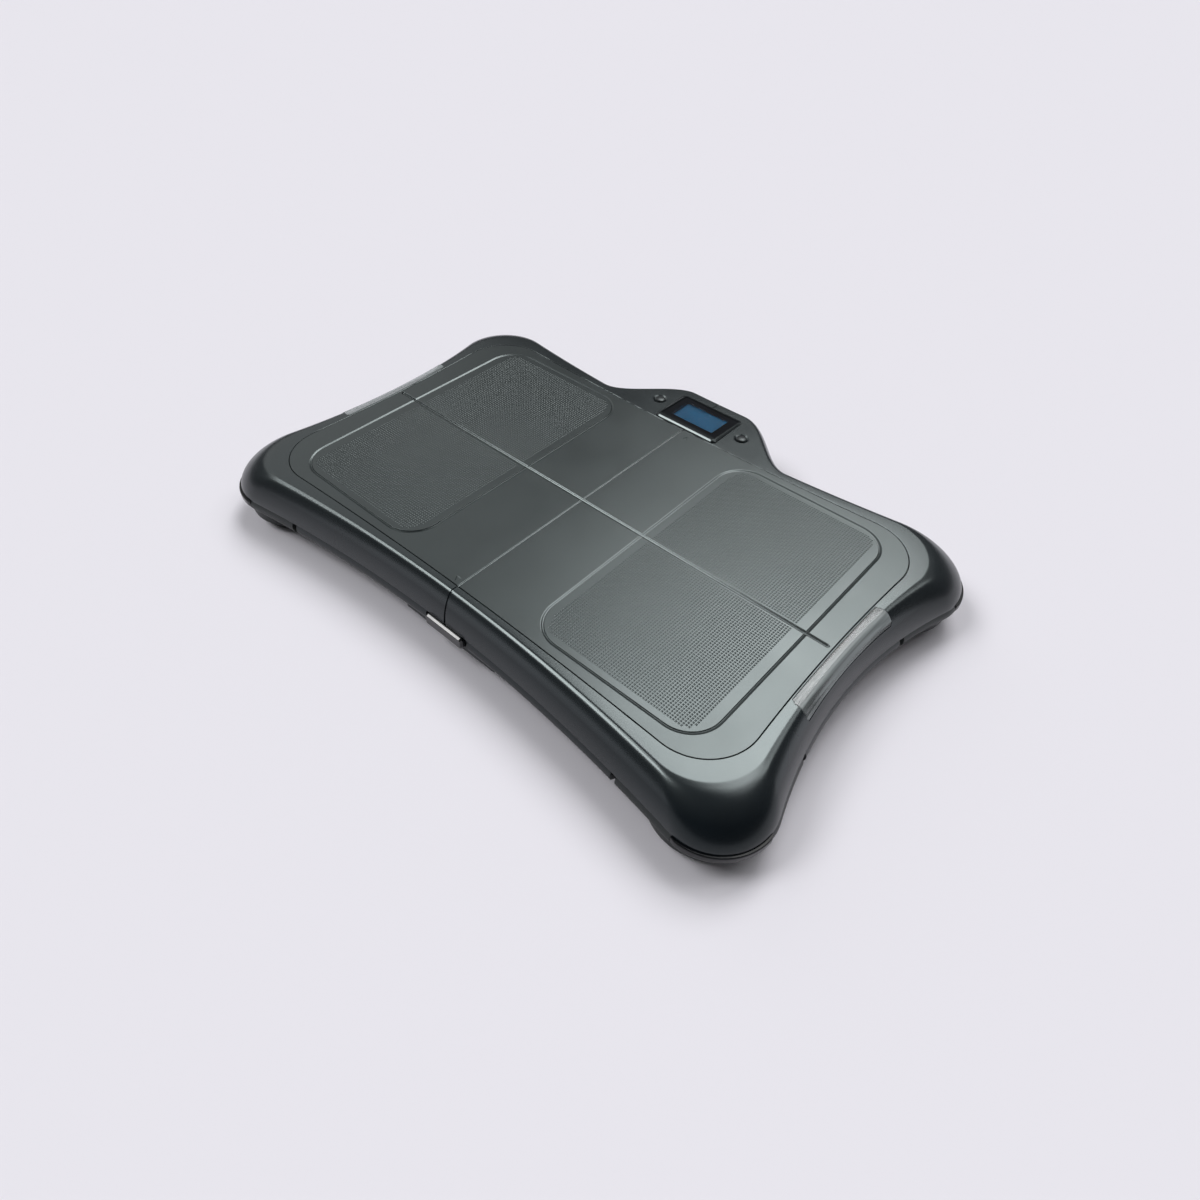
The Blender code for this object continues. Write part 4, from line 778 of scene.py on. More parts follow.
def rim_patch(side, margin, top_offset, low_offset, bevel=0, crown=0, turns=16,
              end_turn=LENS_END_TURN, stations=LENS_STEPS):
    """A strip of the rounded rim between two offsets from its face, with round corners."""
    last_turn = end_turn + 1.5 * margin / RIM_HEIGHT

    def face(y):
        """The rim's section at y from the deck side down, and a point well inside it."""
        seam_x, shoulder_x, parting_x = [short_side(e, y) for e in (SEAM, SHOULDER, PARTING)]
        start = seam_x + LENS_START - margin
        made = [Vector((start, DECK_Z)), Vector((start + LENS_BEVEL, DECK_Z)),
                Vector(((start + shoulder_x) / 2, DECK_Z))]
        stops = [last_turn * k / turns for k in range(turns)]
        for turn in stops + [last_turn - LENS_BEVEL / RIM_HEIGHT, last_turn]:
            out, z = rim_at(turn)
            made.append(Vector((shoulder_x + out * (parting_x - shoulder_x), z)))
        return made, Vector((shoulder_x - RIM_CORE[0], DECK_Z - RIM_CORE[1]))

    flat = face(0)[0]
    lengths = [0]
    for first, second in zip(flat, flat[1:]):
        lengths.append(lengths[-1] + (second - first).length)
    reach = []
    for length in lengths:
        edge = max(LENS_CORNER - min(length, lengths[-1] - length), 0)
        reach.append(LENS_HALF_LENGTH + margin - LENS_CORNER
                     + math.sqrt(max(LENS_CORNER ** 2 - edge ** 2, 0)))
    rings = []
    for i in range(stations + 1):
        share = math.sin(math.pi / 2 * (2 * i / stations - 1))
        top = []
        low = []
        for k, length in enumerate(lengths):
            y = reach[k] * share
            section, middle = face(y)
            outward = (section[k] - middle).normalized()
            from_edge = min(length, lengths[-1] - length, reach[k] * (1 - abs(share)))
            drop = max(bevel - from_edge, 0)
            across = length / lengths[-1]
            bead = crown * (BEAD_SHARE * max(1 - ((across - BEAD_PLACE) / BEAD_SPREAD) ** 2, 0)
                            + math.sin(math.pi * across))
            for run, offset in ((top, top_offset - drop + bead), (low, low_offset)):
                p = section[k] + offset * outward
                run.append(Vector((side * p.x, y, p.y)))
        rings.append(top + list(reversed(low)))
    return loft(rings)


def display_plan(margin):
    """The display frame's outline, a margin larger all round."""
    plan = round_rect((-DISPLAY_HALF, DISPLAY_FRONT), (DISPLAY_HALF, DISPLAY_REAR), DISPLAY_CORNER)
    return grow(plan, margin)


def window_plan(margin, corner, side=0, front=0, rear=0):
    """The printed window's outline, a margin larger, or smaller by its own amount at each side."""
    half = WINDOW_HALF + margin - side
    return round_rect((-half, WINDOW_FRONT - margin + front), (half, WINDOW_REAR + margin - rear),
                      corner, 4)


def glass_room():
    """The opening that the display's glass is seen through."""
    half = WINDOW_HALF - WINDOW_REBATE
    return box((-half, WINDOW_FRONT + WINDOW_REBATE, TRAY_Z - WALL),
               (half, WINDOW_REAR - WINDOW_REBATE, DECK_Z - WINDOW_THICK + GAP))


def make_upper_shell():
    """The upper shell: rim with a seam fillet, display opening, key dishes and lens windows."""
    seam, shoulder, parting = map(outline, (SEAM, SHOULDER, PARTING))
    seam = grow(seam, GAP)
    rings = edge_fillet(seam, SEAM_LIP)
    rings.append(level(grow(shoulder, -SHOULDER_INSET), DECK_Z - HAIR))
    inner = []
    for turn in RIM_TURNS:
        out, z = rim_at(turn)
        points = [a.lerp(b, out) for a, b in zip(shoulder, parting)]
        rings.append(level(points, z))
        if turn > INNER_FROM:
            inner.append(level(grow(points, -WALL), z))
    rings += reversed(inner)
    rings.append(level(grow(shoulder, -GAP), RIM_UNDER_Z))
    step = grow(seam, WALL)
    ledge = grow(seam, -LEDGE_WIDTH)
    rings += [level(points, z) for points, z in (
        (step, RIM_UNDER_Z), (step, LEDGE_UNDER_Z), (ledge, LEDGE_UNDER_Z), (ledge, LEDGE_Z),
        (seam, LEDGE_Z))]
    half = DISPLAY_HALF + GAP + WALL
    tray = box((-half, SEAM.depth + GAP + WALL / 2, TRAY_Z),
               (half, DISPLAY_REAR + GAP + WALL, DECK_Z - WALL / 2))
    wide = KEY_RADIUS + GAP
    soft = 2 * KEY_SOFT
    dish = ((wide, RIM_UNDER_Z - WALL), (wide, DECK_Z - 5 * KEY_SOFT),
            (wide + soft, DECK_Z - 4 * KEY_SOFT), (KEY_DISH - soft, DECK_Z - KEY_SOFT),
            (KEY_DISH, DECK_Z - HAIR), (KEY_DISH + soft, DECK_Z + soft))
    holes = [turned(dish, node_box(key)[2], 48) for key in ("key_left", "key_right")]
    windows = [rim_patch(side, GAP, WALL / 2, -WALL - GAP) for side in (-1, 1)]
    shell = carved(loft(rings, closed=True), ADD, tray,
                   CUT, prism(display_plan(GAP), LEDGE_Z, DECK_Z + WALL), glass_room(),
                   together(holes), together(windows), wall_groove(-1), wall_groove(1))
    piece("upper_shell", shell, "shell_plastic", "top_shell", angle=30)


# Standing panel

def dimple_cells(sign_x, sign_y):
    """Places in the lattice and middles of the dimples of one quarter of the panel."""
    made = []
    columns = int((DIMPLE_X[1] - DIMPLE_X[0]) / DIMPLE_PITCH)
    rows = int((DIMPLE_Y[1] - DIMPLE_Y[0]) / DIMPLE_PITCH)
    first_x = (PAD_INNER + PAD_OUTER) / 2 - DIMPLE_PITCH * (columns - 1) / 2
    low_x = first_x + DIMPLE_CORNER
    high_x = first_x + DIMPLE_PITCH * (columns - 1) - DIMPLE_CORNER
    high_y = DIMPLE_Y[1] - DIMPLE_CORNER
    for i in range(columns):
        for j in range(rows):
            x = first_x + DIMPLE_PITCH * i
            y = DIMPLE_Y[0] + DIMPLE_PITCH * (j + 0.5)
            if math.hypot(max(low_x - x, x - high_x, 0), max(y - high_y, 0)) <= DIMPLE_CORNER:
                made.append((i, j, sign_x * x, sign_y * y))
    return made


def dimple_face(bm, face, sign_x, sign_y):
    """Replaces one flat quarter of the panel by dimples and the plain border round them."""
    z = face.verts[0].co.z
    cells = dimple_cells(sign_x, sign_y)
    half = DIMPLE_PITCH / 2
    filled = {(i, j) for i, j, _, _ in cells}
    around = ((-1, -1), (1, -1), (1, 1), (-1, 1))
    sides = tuple(zip(around, around[1:] + around[:1]))
    border = {}
    edges = []

    def number(x, y):
        """The number of a point of the border, kept once."""
        key = (round(x * PLACE_SCALE), round(y * PLACE_SCALE))
        return border.setdefault(key, (len(border), Vector((x, y))))[0]

    for i, j, x, y in cells:
        for (a, b), (c, d) in sides:
            if (i + (a + c) // 2, j + (b + d) // 2) not in filled:
                edges.append([number(x + sign_x * p * half, y + sign_y * q * half)
                              for p, q in ((a, b), (c, d))])
    loop = [number(*vert.co.xy) for vert in face.verts]
    edges += zip(loop, loop[1:] + loop[:1])
    points = [point for _, point in border.values()]
    flat, _, faces, *_ = delaunay_2d_cdt(points, edges, [], 1, 1 / PLACE_SCALE, False)
    bm.faces.remove(face)
    verts = {}

    def vert(x, y, height):
        """A mesh vertex at a place, made once."""
        key = tuple(round(v * PLACE_SCALE) for v in (x, y, height))
        if key not in verts:
            verts[key] = bm.verts.new((x, y, height))
        return verts[key]

    for corners in faces:
        middle = sum((flat[c] for c in corners), Vector((0, 0))) / len(corners)
        near = min(((middle.x - x) ** 2 + (middle.y - y) ** 2, x, y) for _, _, x, y in cells)
        if max(abs(middle.x - near[1]), abs(middle.y - near[2])) >= half:
            bm.faces.new([vert(flat[c].x, flat[c].y, z) for c in corners])
    levels = ((half, 0), *DIMPLE_LEVELS)
    for _, _, x, y in cells:
        for upper, lower in zip(levels, levels[1:]):
            for start, end in sides:
                corners = [vert(x + a * reach, y + b * reach, z - depth) for (a, b), (reach, depth)
                           in ((start, upper), (end, upper), (end, lower), (start, lower))]
                bm.faces.new(list(dict.fromkeys(corners)))


def mark_tool(x, y, way):
    """The cutter for a small pointed mark."""
    tri = [Vector(p) for p in ((x - MARK_HALF, y), (x + MARK_HALF, y), (x, y + way * MARK_LENGTH))]
    middle = sum(tri, Vector((0, 0))) / 3
    return loft([level([middle.lerp(p, share) for p in tri], DECK_Z + up * MARK_SINK)
                 for share, up in ((0.7, -1), (1, 0), (1.1, 0.5))])


def make_panel():
    """The panel that is stood on: soft edge, rounded grooves, two small marks and dimpled pads."""
    edge = outline(SEAM)
    core = grow(edge, -LEDGE_WIDTH - GAP)
    rings = [level(core, CORE_Z), level(core, LEDGE_Z + GAP), level(edge, LEDGE_Z + GAP)]
    rings += edge_fillet(edge, -SEAM_FILLET)
    pads = []
    for low_x, high_x in ((-PAD_OUTER, -PAD_INNER), (PAD_INNER, PAD_OUTER)):
        way = round_rect((low_x, -PAD_Y), (high_x, PAD_Y), PAD_CORNER, 16)
        pads.append(groove_tool(*PAD_GROOVE, [(p, q - p, 1) for p, q in zip(way, grow(way, 1))],
                                True, PAD_STEEPNESS))
    long_path = straight_path(Vector((LONG_REACH, 0)), LONG_GROOVE[0] / 2)
    centre_path = straight_path(Vector((0, SEAM.depth + WALL)), 0)
    panel = carved(loft(rings), CUT, together(pads), groove_tool(*LONG_GROOVE, long_path),
                   groove_tool(*CENTRE_GROOVE, centre_path),
                   together([mark_tool(*place) for place in MARK_PLACES]))
    quarters = []
    for face in panel.faces:
        middle = face.calc_center_median()
        if abs(middle.z - DECK_Z) > HAIR / 2 or face.normal.z < 0.999:
            continue
        across = [abs(v.co.x) for v in face.verts]
        if (min(across) > PAD_INNER and max(across) < PAD_OUTER
                and max(abs(v.co.y) for v in face.verts) < PAD_Y):
            quarters.append((face, math.copysign(1, middle.x), math.copysign(1, middle.y)))
    for quarter_face in quarters:
        dimple_face(panel, *quarter_face)
    bmesh.ops.remove_doubles(panel, verts=panel.verts, dist=2 / PLACE_SCALE)
    made = piece("standing_panel", panel, "deck_plastic", "deck_panel", angle=16)
    made.data.materials.append(LOOKS["groove"])
    for face in made.data.polygons:
        x, y, z = face.center
        in_long = abs(y - MIDDLE_Y) < LONG_GROOVE[0] / 2 and abs(x) < LONG_REACH
        in_centre = abs(x) < CENTRE_GROOVE[0] / 2 and abs(y - MIDDLE_Y) < SEAM.depth - GAP
        if 1.5 * HAIR < DECK_Z - z < PANEL_THICK / 2 and (in_long or in_centre):
            face.material_index = 1


# Side lenses

def make_lens(name, side):
    """The crowned clear lens with its bead, its reflector, and the row of lamps behind it."""
    lens = rim_patch(side, 0, 0, -WALL, LENS_BEVEL, LENS_CROWN, LENS_STEPS)
    piece(f"clear_lens_{name}", lens, "clear_lens", f"light_lens_{name}", angle=30)
    low, high, middle = node_box(f"light_strip_{name}")
    board_z = high.z - LAMP_HEIGHT
    lamps = []
    for k in range(LAMPS):
        place = Vector((middle.x, low.y + (high.y - low.y) * (k + 0.5) / LAMPS))
        lamps.append(prism(round_rect(place - LAMP_HALF, place + LAMP_HALF, LAMP_CORNERS[0], 2),
                           board_z, high.z))
    strip = prism(round_rect(low, high, LAMP_CORNERS[1], 3), low.z, board_z)
    piece(f"lamp_board_{name}", strip, "circuit_green", f"light_strip_{name}")
    piece(f"lamps_{name}", together(lamps), "clear_lens", look="lamp")
    under = -WALL - REFLECTOR_DROP
    tray = rim_patch(side, -REFLECTOR_DROP, under, under - REFLECTOR_THICK,
                     end_turn=REFLECTOR_TURN, stations=REFLECTOR_STEPS)
    piece(f"reflector_{name}", tray, "foot_plastic", look="reflector")


# Display and keys

def display_top(y):
    """The height of the display frame's sloping top."""
    share = (y - DISPLAY_FRONT) / DISPLAY_DEPTH
    return DECK_Z + FRONT_RISE + (REAR_RISE - FRONT_RISE) * share


def soft_block(points, low, soft, sink=0):
    """A block with the display frame's sloping top and a softly bevelled upper edge."""
    rings = [level(points, low)]
    for inward_share, drop_share in SOFT_EDGE:
        ring = []
        for p in grow(points, -soft * inward_share):
            top = display_top(p.y)
            drop = min(soft * SOFT_DROP, (top - DECK_Z) * SOFT_RISE_SHARE) * drop_share
            ring.append(Vector((p.x, p.y, top - sink - drop)))
        rings.append(ring)
    return loft(rings)


def make_display():
    """The display's frame, printed window, clear pane and blue glass."""
    bezel = soft_block(display_plan(0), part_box("display_bezel")[0].z, FRAME_SOFT)
    step_z = DECK_Z - WINDOW_THICK
    room_corner, window_corner, view_corner = WINDOW_CORNERS
    room = prism(window_plan(GAP, room_corner), step_z, DECK_Z + 2 * WALL)
    piece("display_frame", carved(bezel, CUT, room, glass_room()), "gloss_black",
          "display_bezel", angle=40, look="frame")
    pane = soft_block(window_plan(0, window_corner), step_z + GAP, WINDOW_SOFT, WINDOW_SINK)
    view = window_plan(0, view_corner, *VIEW_MARGIN)
    piece("window_print", carved(pane, CUT, prism(view, step_z, DECK_Z + WALL)), "window_black",
          "display_window", angle=40)
    top = [Vector((*p, display_top(p.y) - WINDOW_SINK - 1.5 * HAIR)) for p in grow(view, -HAIR)]
    under = [p - Vector((0, 0, PANE_THICK)) for p in top]
    piece("window_pane", loft([under, top]), "clear_lens", look="pane")
    low, high, _ = node_box("display_glass")
    glass = round_rect(low, high, GLASS_CORNER, 3)
    rings = [level(glass, low.z), level(glass, high.z - GLASS_BEVEL),
             level(grow(glass, -GLASS_BEVEL), high.z)]
    piece("blue_glass", loft(rings), "display_blue", "display_glass")


def make_key(name):
    """One domed round key with its flange."""
    low, high, middle = node_box(name)
    flange = (high.x - low.x) / 2
    flange_top = RIM_UNDER_Z - GAP
    start_z = DECK_Z - KEY_SOFT
    profile = [(flange, low.z), (flange, flange_top - KEY_SOFT), (flange - KEY_SOFT, flange_top),
               (KEY_RADIUS, flange_top), (KEY_RADIUS, start_z)]
    for k in range(1, KEY_STEPS + 1):
        share = k / KEY_STEPS
        profile.append((KEY_RADIUS * (1 - KEY_DOME[0] * share ** KEY_DOME[1]),
                        start_z + (high.z - start_z) * math.sqrt(share * (2 - share))))
    piece(f"round_{name}", turned(profile, middle, 48), "gloss_black", name, name, look="key")


# Lower shell and feet

def foot_area():
    """The plan of one corner foot and the gap round it, as a prism through the lower shell."""
    x_cut, y_cut = (c - GAP for c in FOOT_CUT)
    reach = PARTING.width + PARTING.corner
    return prism(((x_cut, reach), (x_cut, y_cut + FOOT_CHAMFER[1]),
                  (x_cut + FOOT_CHAMFER[0], y_cut), (reach, y_cut), (reach, reach)),
                 -WALL, DECK_Z + WALL)


def edge_slots():
    """Two short slots in the lower shell's edge, beside one foot."""
    front_y = long_side(PARTING, FOOT_CUT.x)
    side_x = short_side(PARTING, FOOT_CUT.y)
    return together([box((FOOT_CUT.x - FOOT_GAP, front_y - SLOT_DEPTH, -WALL),
                         (FOOT_CUT.x + GAP, front_y + SLOT_DEPTH, DECK_Z)),
                     box((side_x - SLOT_DEPTH, FOOT_CUT.y - FOOT_GAP, -WALL),
                         (side_x + SLOT_DEPTH, FOOT_CUT.y + GAP, DECK_Z))])


def button_opening(margin, rear, notch=0):
    """A cutter for the power bar's way through the front wall, longer to the right by a notch."""
    plan = round_rect((-BUTTON_HALF - min(margin, BUTTON_SLOT), BUTTON_LOW - margin),
                      (BUTTON_HALF + margin + notch, PARTING_Z + 2 * WALL),
                      BUTTON_CORNERS[1] + margin, 6)
    return loft([upright(plan, y) for y in (-PARTING.depth - BELLY_OUT - WALL, rear)])


def cover_shape(margin, beyond):
    """The battery cover, a margin larger for its recess, and longer to the rear by beyond."""
    low, high, _ = node_box("battery_cover")
    lip_z = POD_Z + COVER_LIP - margin
    wide = high.x + margin
    neck = wide - COVER_NECK
    points = [(neck, POD_Z - beyond), (neck, lip_z), (wide, lip_z), (wide, high.z + margin)]
    points += [(-x, z) for x, z in reversed(points)]
    return loft([upright(points, y) for y in (low.y - margin, high.y + beyond)])


def make_lower_shell():
    """The lower shell: rounded tray, battery pod, screw tubes, and the power bar's recess."""
    parting = outline(PARTING)
    rings = [level(grow(parting, out), z) for out, z in LOWER_SECTION + INNER_SECTION]
    pod_rear = node_box("battery_cover")[1].y
    pod = loft([level(round_rect((-half, POD_FRONT + inset), (half, pod_rear), corner), z)
                for z, half, inset, corner in POD_LEVELS])
    button_frame = box((-BUTTON_FRAME, -PARTING.depth + WALL / 2, BASE_Z + WALL / 2),
                       (BUTTON_FRAME, BUTTON_SEAT, PARTING_Z - 2 * GAP))
    pocket = box((-POCKET_HALF, BUTTON_SEAT, POD_Z + WALL),
                 (POCKET_HALF, pod_rear - WALL, PARTING_Z + WALL))
    block = box((-BLOCK_HALF[0], -BLOCK_HALF[1], POD_Z + GAP),
                (BLOCK_HALF[0], pod_rear - GAP, BAY_TOP + WALL))
    bay = box((-BAY_HALF[0], -BAY_HALF[1], POD_Z - WALL), (*BAY_HALF, BAY_TOP))
    screws = [node_box(f"shell_screw_{number}")[2] for number in range(1, 9)]
    tube = ((TUBE_RADIUS, BASE_Z + GAP), (TUBE_RADIUS, TUBE_TOP))
    recess_rear = BUTTON_RECESS_DEPTH - PARTING.depth - BELLY_OUT
    shell = carved(loft(rings), ADD, pod, button_frame, CUT, pocket,
                   ADD, block, together([turned(tube, place) for place in screws]),
                   CUT, button_opening(BUTTON_SLOT, BUTTON_SEAT + WALL),
                   button_opening(BUTTON_RECESS, recess_rear, BUTTON_NOTCH),
                   bay, cover_shape(GAP, WALL),
                   together([turned(SCREW_ROOM, place) for place in screws]),
                   turned(SYNC_ROOM, node_box("sync_button")[2]),
                   at_corners(foot_area), at_corners(edge_slots))
    piece("lower_shell", shell, "shell_plastic", "bottom_shell", angle=32, look="lower")


def foot_ring(distance, z, inward):
    """A closed ring of a corner foot: its outer wall, and its straight inner sides moved inward."""
    fit = corner_fit(PARTING)
    run = []
    for k in range(FOOT_STEPS):
        y = FOOT_CUT.y + (fit.y - FOOT_CUT.y) * k / FOOT_STEPS
        slope = slopes(PARTING, 0, y)[1]
        norm = math.hypot(1, slope)
        run.append(Vector((short_side(PARTING, y) + distance / norm, y - distance * slope / norm)))
    run += arc_points(PARTING, distance, FOOT_ARC_STEPS)
    for k in range(1, FOOT_STEPS + 1):
        x = fit.x + (FOOT_CUT.x - fit.x) * k / FOOT_STEPS
        slope = slopes(PARTING, x, 0)[0]
        norm = math.hypot(1, slope)
        run.append(Vector((x - distance * slope / norm, long_side(PARTING, x) + distance / norm)))
    run[0].y, run[-1].x = FOOT_CUT.y, FOOT_CUT.x
    left, front = FOOT_CUT.x + inward, FOOT_CUT.y + inward
    run = [Vector((max(p.x, left), max(p.y, front))) for p in run]
    run.append(Vector((left, front + FOOT_CHAMFER[1] - inward / 2)))
    run.append(Vector((left + FOOT_CHAMFER[0] - inward / 2, front)))
    return level(run, z)


def bumper_band(inner, outer, margin, section):
    """A quarter ring round a corner, between two distances from the parting edge."""
    centre = corner_fit(PARTING).centre
    near = PARTING.corner + inner
    low = PARTING_Z - GAP - BUMPER_HEIGHT - margin
    top = PARTING_Z - GAP + margin
    spread = margin / PARTING.corner
    start, end = BUMPER_TURNS[0] - spread, BUMPER_TURNS[1] + spread
    rings = []
    for k in range(BUMPER_STEPS + 1):
        way = unit(start + (end - start) * k / BUMPER_STEPS)
        from_end = min(k, BUMPER_STEPS - k)
        pull = BUMPER_PULL * max(1 - from_end / 2, 0) if margin == 0 else 0
        rings.append([Vector((*(centre + way * (near + (outer - inner - pull) * across)),
                              low + (top - low) * up)) for across, up in section])
    return loft(rings)


def make_corner(name, sign_x, sign_y):
    """One corner: housing with its round cup, bumper and rubber ring."""
    _, rubber_high, place = node_box(f"foot_rubber_{name}")
    middle = Vector((abs(place.x), abs(place.y)))
    cup_z, boss_z = (corner.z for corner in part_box(f"foot_housing_{name}"))
    housing = loft([foot_ring(out, z, 0) for out, z in LOWER_SECTION])
    cup = turned([(r, cup_z + z) for r, z in CUP_SECTION] + [(CUP_RADIUS, TUCK_Z + WALL)],
                 middle, 72)
    wall = BUMPER_THICK - BUMPER_OUT + GAP
    pocket = loft([foot_ring(out, z, WALL) for out, z in (
        (-BASE_IN - WALL, FLOOR_Z), (-TUCK_IN - WALL, TUCK_Z + GAP), (-wall - WALL, BELLY_Z),
        (-wall - WALL, PARTING_Z + WALL))])
    inside = CUP_FOOT_RADIUS - WALL
    hollow = turned(((inside, cup_z + WALL), (inside, PARTING_Z)), middle, 48)
    boss = turned(((BOSS_RADIUS, cup_z + GAP), (BOSS_RADIUS, boss_z)), middle, 40)
    seat = cup_z + BORE_SEAT
    wide, narrow = BORE_RADII
    bore = turned(((wide, cup_z - WALL), (wide, seat), (narrow, seat), (narrow, boss_z + WALL)),
                  middle)
    housing = carved(housing, ADD, cup, CUT, pocket, hollow, ADD, boss,
                     CUT, bore, bumper_band(-wall, 2 * WALL, GAP, SQUARE))
    piece(f"foot_shell_{name}", mirrored(housing, sign_x, sign_y), "foot_plastic",
          f"foot_housing_{name}", angle=32)
    band = bumper_band(BUMPER_OUT - BUMPER_THICK, BUMPER_OUT, 0, BUMPER_SECTION)
    piece(f"bumper_strip_{name}", mirrored(band, sign_x, sign_y), "gloss_black",
          f"corner_bumper_{name}", look="bumper")
    inner, outer = RUBBER_RADII
    profile = [(outer, 0.0009), (outer, rubber_high.z), (inner, rubber_high.z), (inner, 0.0006),
               (inner + 0.0006, 0)]
    profile += [(r + out, z) for r in RUBBER_RIBS for out, z in RUBBER_GROOVE]
    profile.append((outer - 0.0009, 0))
    piece(f"rubber_ring_{name}", turned(profile, place, 96, True), "foot_rubber",
          f"foot_rubber_{name}")


def make_screw(node, thick, shank):
    """A pan-head screw with a cross recess, head down: its head's height and shank's radius."""
    low, high, middle = node_box(node)
    head = (high.x - low.x) / 2
    seat = low.z + thick
    profile = [(head * r, low.z + thick * z) for r, z in HEAD_SECTION] + [(shank, seat)]
    for k in range(int((high.z - seat - THREAD_ENDS) / THREAD_PITCH)):
        z = seat + THREAD_START + THREAD_PITCH * k
        profile += [(shank, z), (shank * THREAD_CORE, z + THREAD_PITCH / 2)]
    profile += [(shank, high.z - SCREW_TIP), (shank * 0.7, high.z)]
    wide, thin = head * CROSS_WIDE, head * CROSS_THIN
    cross = []
    for k in range(4):
        turn = Matrix.Rotation(math.pi / 2 * k, 2)
        cross += [turn @ Vector(p) for p in ((wide, -thin), (wide, thin), (thin, thin))]
    recess = loft([level([middle.xy + p * share for p in cross], z)
                   for share, z in ((1, low.z - CROSS_START), (0.8, low.z + thick * CROSS_DEEP))])
    piece(f"pan_{node}", carved(turned(profile, middle, 24), CUT, recess), "zinc_steel", node)


# Power bar, pairing button and batteries

def make_power_bar():
    """The power bar in the front wall."""
    low, high, _ = node_box("power_button")
    bar = round_rect((-BUTTON_HALF, BUTTON_LOW), (BUTTON_HALF, BUTTON_TOP), BUTTON_CORNERS[0])
    lip = round_rect(low.xz, high.xz, BUTTON_CORNERS[1])
    lip_front = BUTTON_SEAT + GAP
    rings = [upright(grow(bar, -BUTTON_SOFT * BUTTON_PULL * inward), low.y + BUTTON_SOFT * back)
             for back, inward in SOFT_EDGE]
    rings += [upright(bar, lip_front), upright(lip, lip_front), upright(lip, high.y)]
    piece("power_bar", loft(rings), "gloss_black", "power_button", "power_button")


def make_sync_key():
    """The small pairing button with a dished end."""
    low, high, middle = node_box("sync_button")
    flange_low = POD_Z + WALL + GAP
    profile = ((0.0012, low.z + 0.0003), (0.0024, low.z), (0.0028, low.z), (0.0030, low.z + 0.0002),
               (0.0030, flange_low), (0.0042, flange_low), (0.0042, flange_low + 0.0010),
               (0.0020, flange_low + 0.0010), (0.0020, high.z))
    piece("pairing_key", turned(profile, middle), "sync_red", "sync_button", "sync_button")


# A cell's sleeve and its metal ends: share of the radius, and distance from the negative end
CELL_SLEEVE = ((0.90, 0.0004), (0.98, 0.0005), (1, 0.0011), (1, 0.0478), (0.97, 0.0486),
               (0.88, 0.0488))
CELL_CAN = ((0.55, 0), (0.86, 0.0003), (0.86, 0.0482), (0.80, 0.0491), (0.40, 0.0491),
            (0.38, 0.0500), (0.33, 0.0505))


def make_battery_bay():
    """The sliding cover with its grip, and the four cells."""
    front = node_box("battery_cover")[0].y
    ridges = []
    for k in range(GRIP_RIDGES):
        y = front + GRIP_START + GRIP_PITCH * k
        reach = GRIP_HALF - GRIP_TAPER * k
        ridges.append(loft([[Vector((x, y + along, POD_Z + up)) for along, up in GRIP_SECTION]
                            for x in (-reach, reach)]))
    piece("sliding_cover", carved(cover_shape(0, 0), CUT, together(ridges)), "shell_plastic",
          "battery_cover", "battery_cover", look="lower")
    for k in range(4):
        node = f"battery_{k + 1}"
        low, high, middle = node_box(node)
        radius = (high.x - low.x) / 2
        negative, way = (low.y, 1) if k % 2 == 0 else (high.y, -1)
        for name, profile, slot, instead in (("cell_sleeve", CELL_SLEEVE, "battery_sleeve", node),
                                             ("cell_can", CELL_CAN, "zinc_steel", None)):
            rings = [upright(circle(radius * r, middle.x, middle.z, 40), negative + way * along)
                     for r, along in profile]
            piece(f"{name}_{k + 1}", loft(rings), slot, instead)


# What the frame keeps, with finished materials
KEPT = {"zinc_steel": ("support_plate", "battery_contact_front", "battery_contact_rear"),
        "circuit_green": ("display_board", "main_board"),
        "switch_black": ("key_switch_left", "key_switch_right", "power_switch", "sync_switch"),
        "cell_aluminium": tuple(f"load_cell_{corner}" for corner, _, _ in CORNERS)}
for slot, nodes in KEPT.items():
    for node in nodes:
        for used in frame["nodes"][node].material_slots:
            used.material = LOOKS[slot]

make_upper_shell()
make_panel()
make_lower_shell()
for corner, sign_x, sign_y in CORNERS:
    make_corner(corner, sign_x, sign_y)
    make_screw(f"foot_screw_{corner}", *FOOT_SCREW)
    make_screw(f"load_cell_screw_{corner}", *FOOT_SCREW)
for number in range(1, 9):
    make_screw(f"shell_screw_{number}", *SHELL_SCREW)
for side_name, side in (("left", -1), ("right", 1)):
    make_lens(side_name, side)
    make_key(f"key_{side_name}")
make_display()
make_power_bar()
make_sync_key()
make_battery_bay()


# Floor, light and camera

FLOOR_HALF = 8
FLOOR_COLOUR = (0.806, 0.791, 0.847, 1)
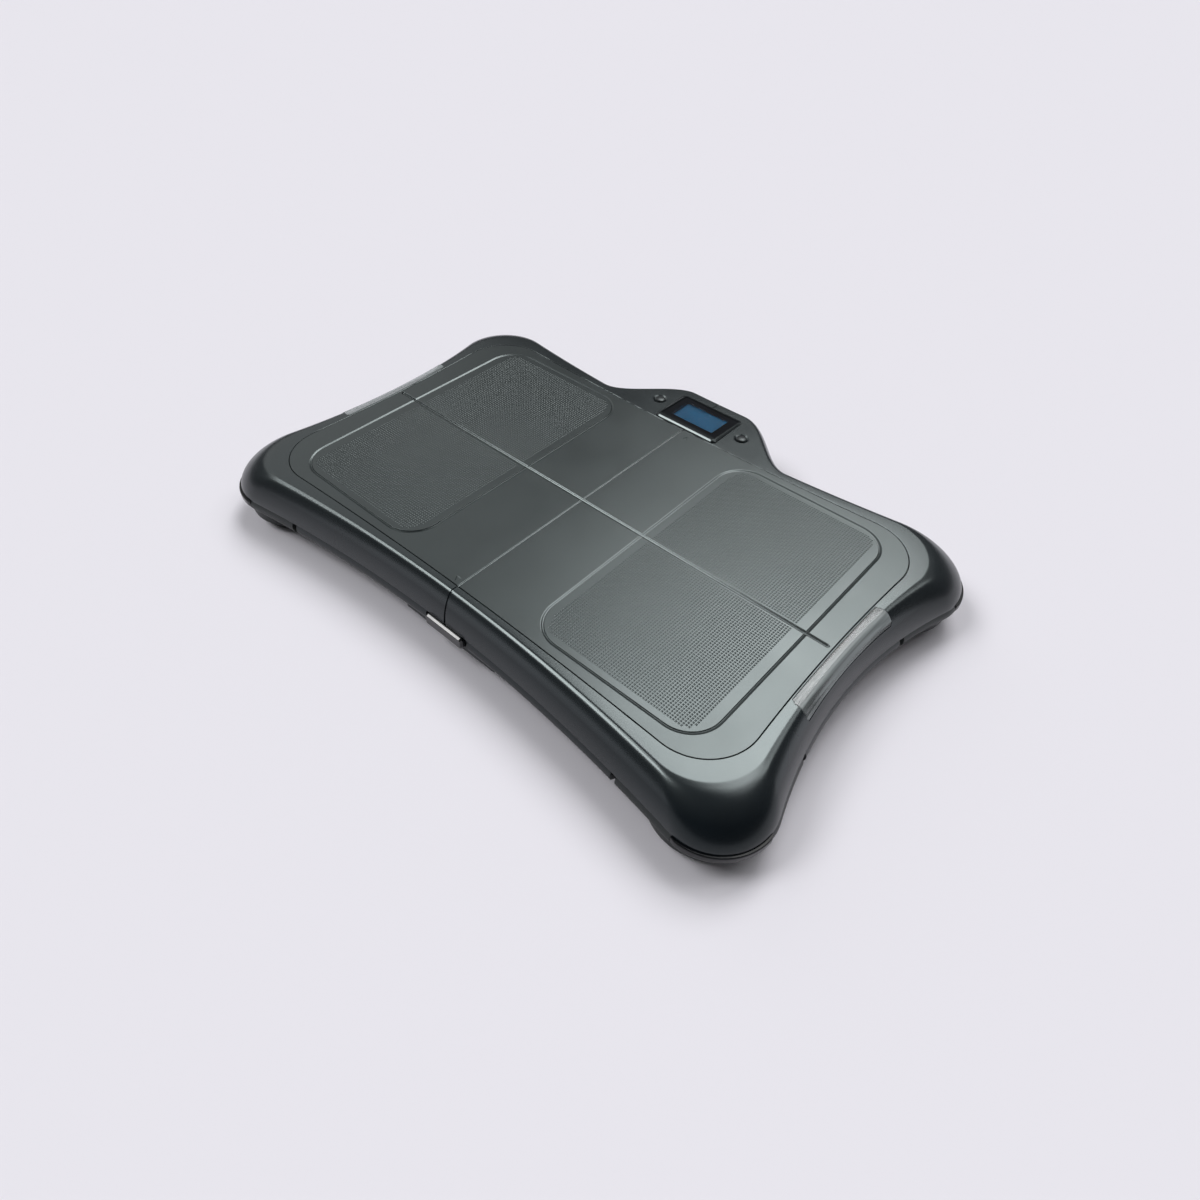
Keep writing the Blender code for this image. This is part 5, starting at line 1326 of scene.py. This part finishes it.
# Name, direction towards the light, how wide it is in degrees, and its share of the level
LIGHTS = (("key_light", (-0.20, 0.53, 0.83), 28, 0.29),
          ("low_key_light", (-0.16, 0.68, 0.72), 18, 0.03),
          ("front_light", (-0.47, -0.40, 0.79), 24, 0.30),
          ("strip_light", (-0.66, -0.12, 0.74), 14, 0.04),
          ("top_light", (0.10, 0.40, 0.91), 22, 0.11),
          ("high_light", (0.31, 0.32, 0.89), 26, 0.06),
          ("side_light", (0.37, 0.57, 0.73), 16, 0.04),
          ("left_light", (-0.78, 0.28, 0.55), 36, 0.03))
CAMERA_LENS = 23.98
CAMERA_RIGHT = (0.74685, 0.66472, 0.01990)
CAMERA_BACK = (0.44376, -0.52043, 0.72953)
CAMERA_PLACE = (0.3174, MIDDLE_Y - 0.3483, DECK_Z + 0.3915)


def make_floor():
    """A plain pale floor."""
    bm = bmesh.new()
    bm.faces.new([bm.verts.new((x * FLOOR_HALF, y * FLOOR_HALF, 0))
                  for x, y in ((-1, -1), (1, -1), (1, 1), (-1, 1))])
    mesh = mesh_of("floor", bm)
    mesh.materials.append(new_look("pale_floor", {"Roughness": 1, "Base Color": FLOOR_COLOUR,
                                                  "Specular IOR Level": 0})[0])
    in_scene("floor", mesh)


def make_sun(name, direction, angle, share):
    """A sun whose light on the floor is a share of the level at which colours render as written."""
    lamp = bpy.data.lights.new(name, "SUN")
    lamp.angle = math.radians(angle)
    towards = Vector(direction).normalized()
    lamp.energy = share * math.pi / towards.z
    made = in_scene(name, lamp)
    made.rotation_mode = "QUATERNION"
    made.rotation_quaternion = towards.to_track_quat("Z", "Y")


def make_world(share):
    """An even white surround at a share of that level."""
    world = bpy.data.worlds.new("surround")
    world.use_nodes = True
    feed(world.node_tree, world.node_tree.nodes["Background"],
         {"Color": (1, 1, 1, 1), "Strength": share})
    bpy.context.scene.world = world


def make_camera():
    """The camera at the photograph's viewing angle."""
    data = bpy.data.cameras.new("camera")
    data.lens = CAMERA_LENS
    data.sensor_width = 36
    data.clip_start = 0.01
    right = Vector(CAMERA_RIGHT).normalized()
    back = Vector(CAMERA_BACK).normalized()
    made = in_scene("camera", data)
    turn = Matrix((right, back.cross(right), back)).transposed().to_4x4()
    made.matrix_world = Matrix.Translation(CAMERA_PLACE) @ turn
    bpy.context.scene.camera = made


make_floor()
for light in LIGHTS:
    make_sun(*light)
make_world(1 - sum(light[3] for light in LIGHTS))
make_camera()
bpy.context.scene.view_settings.view_transform = "Standard"
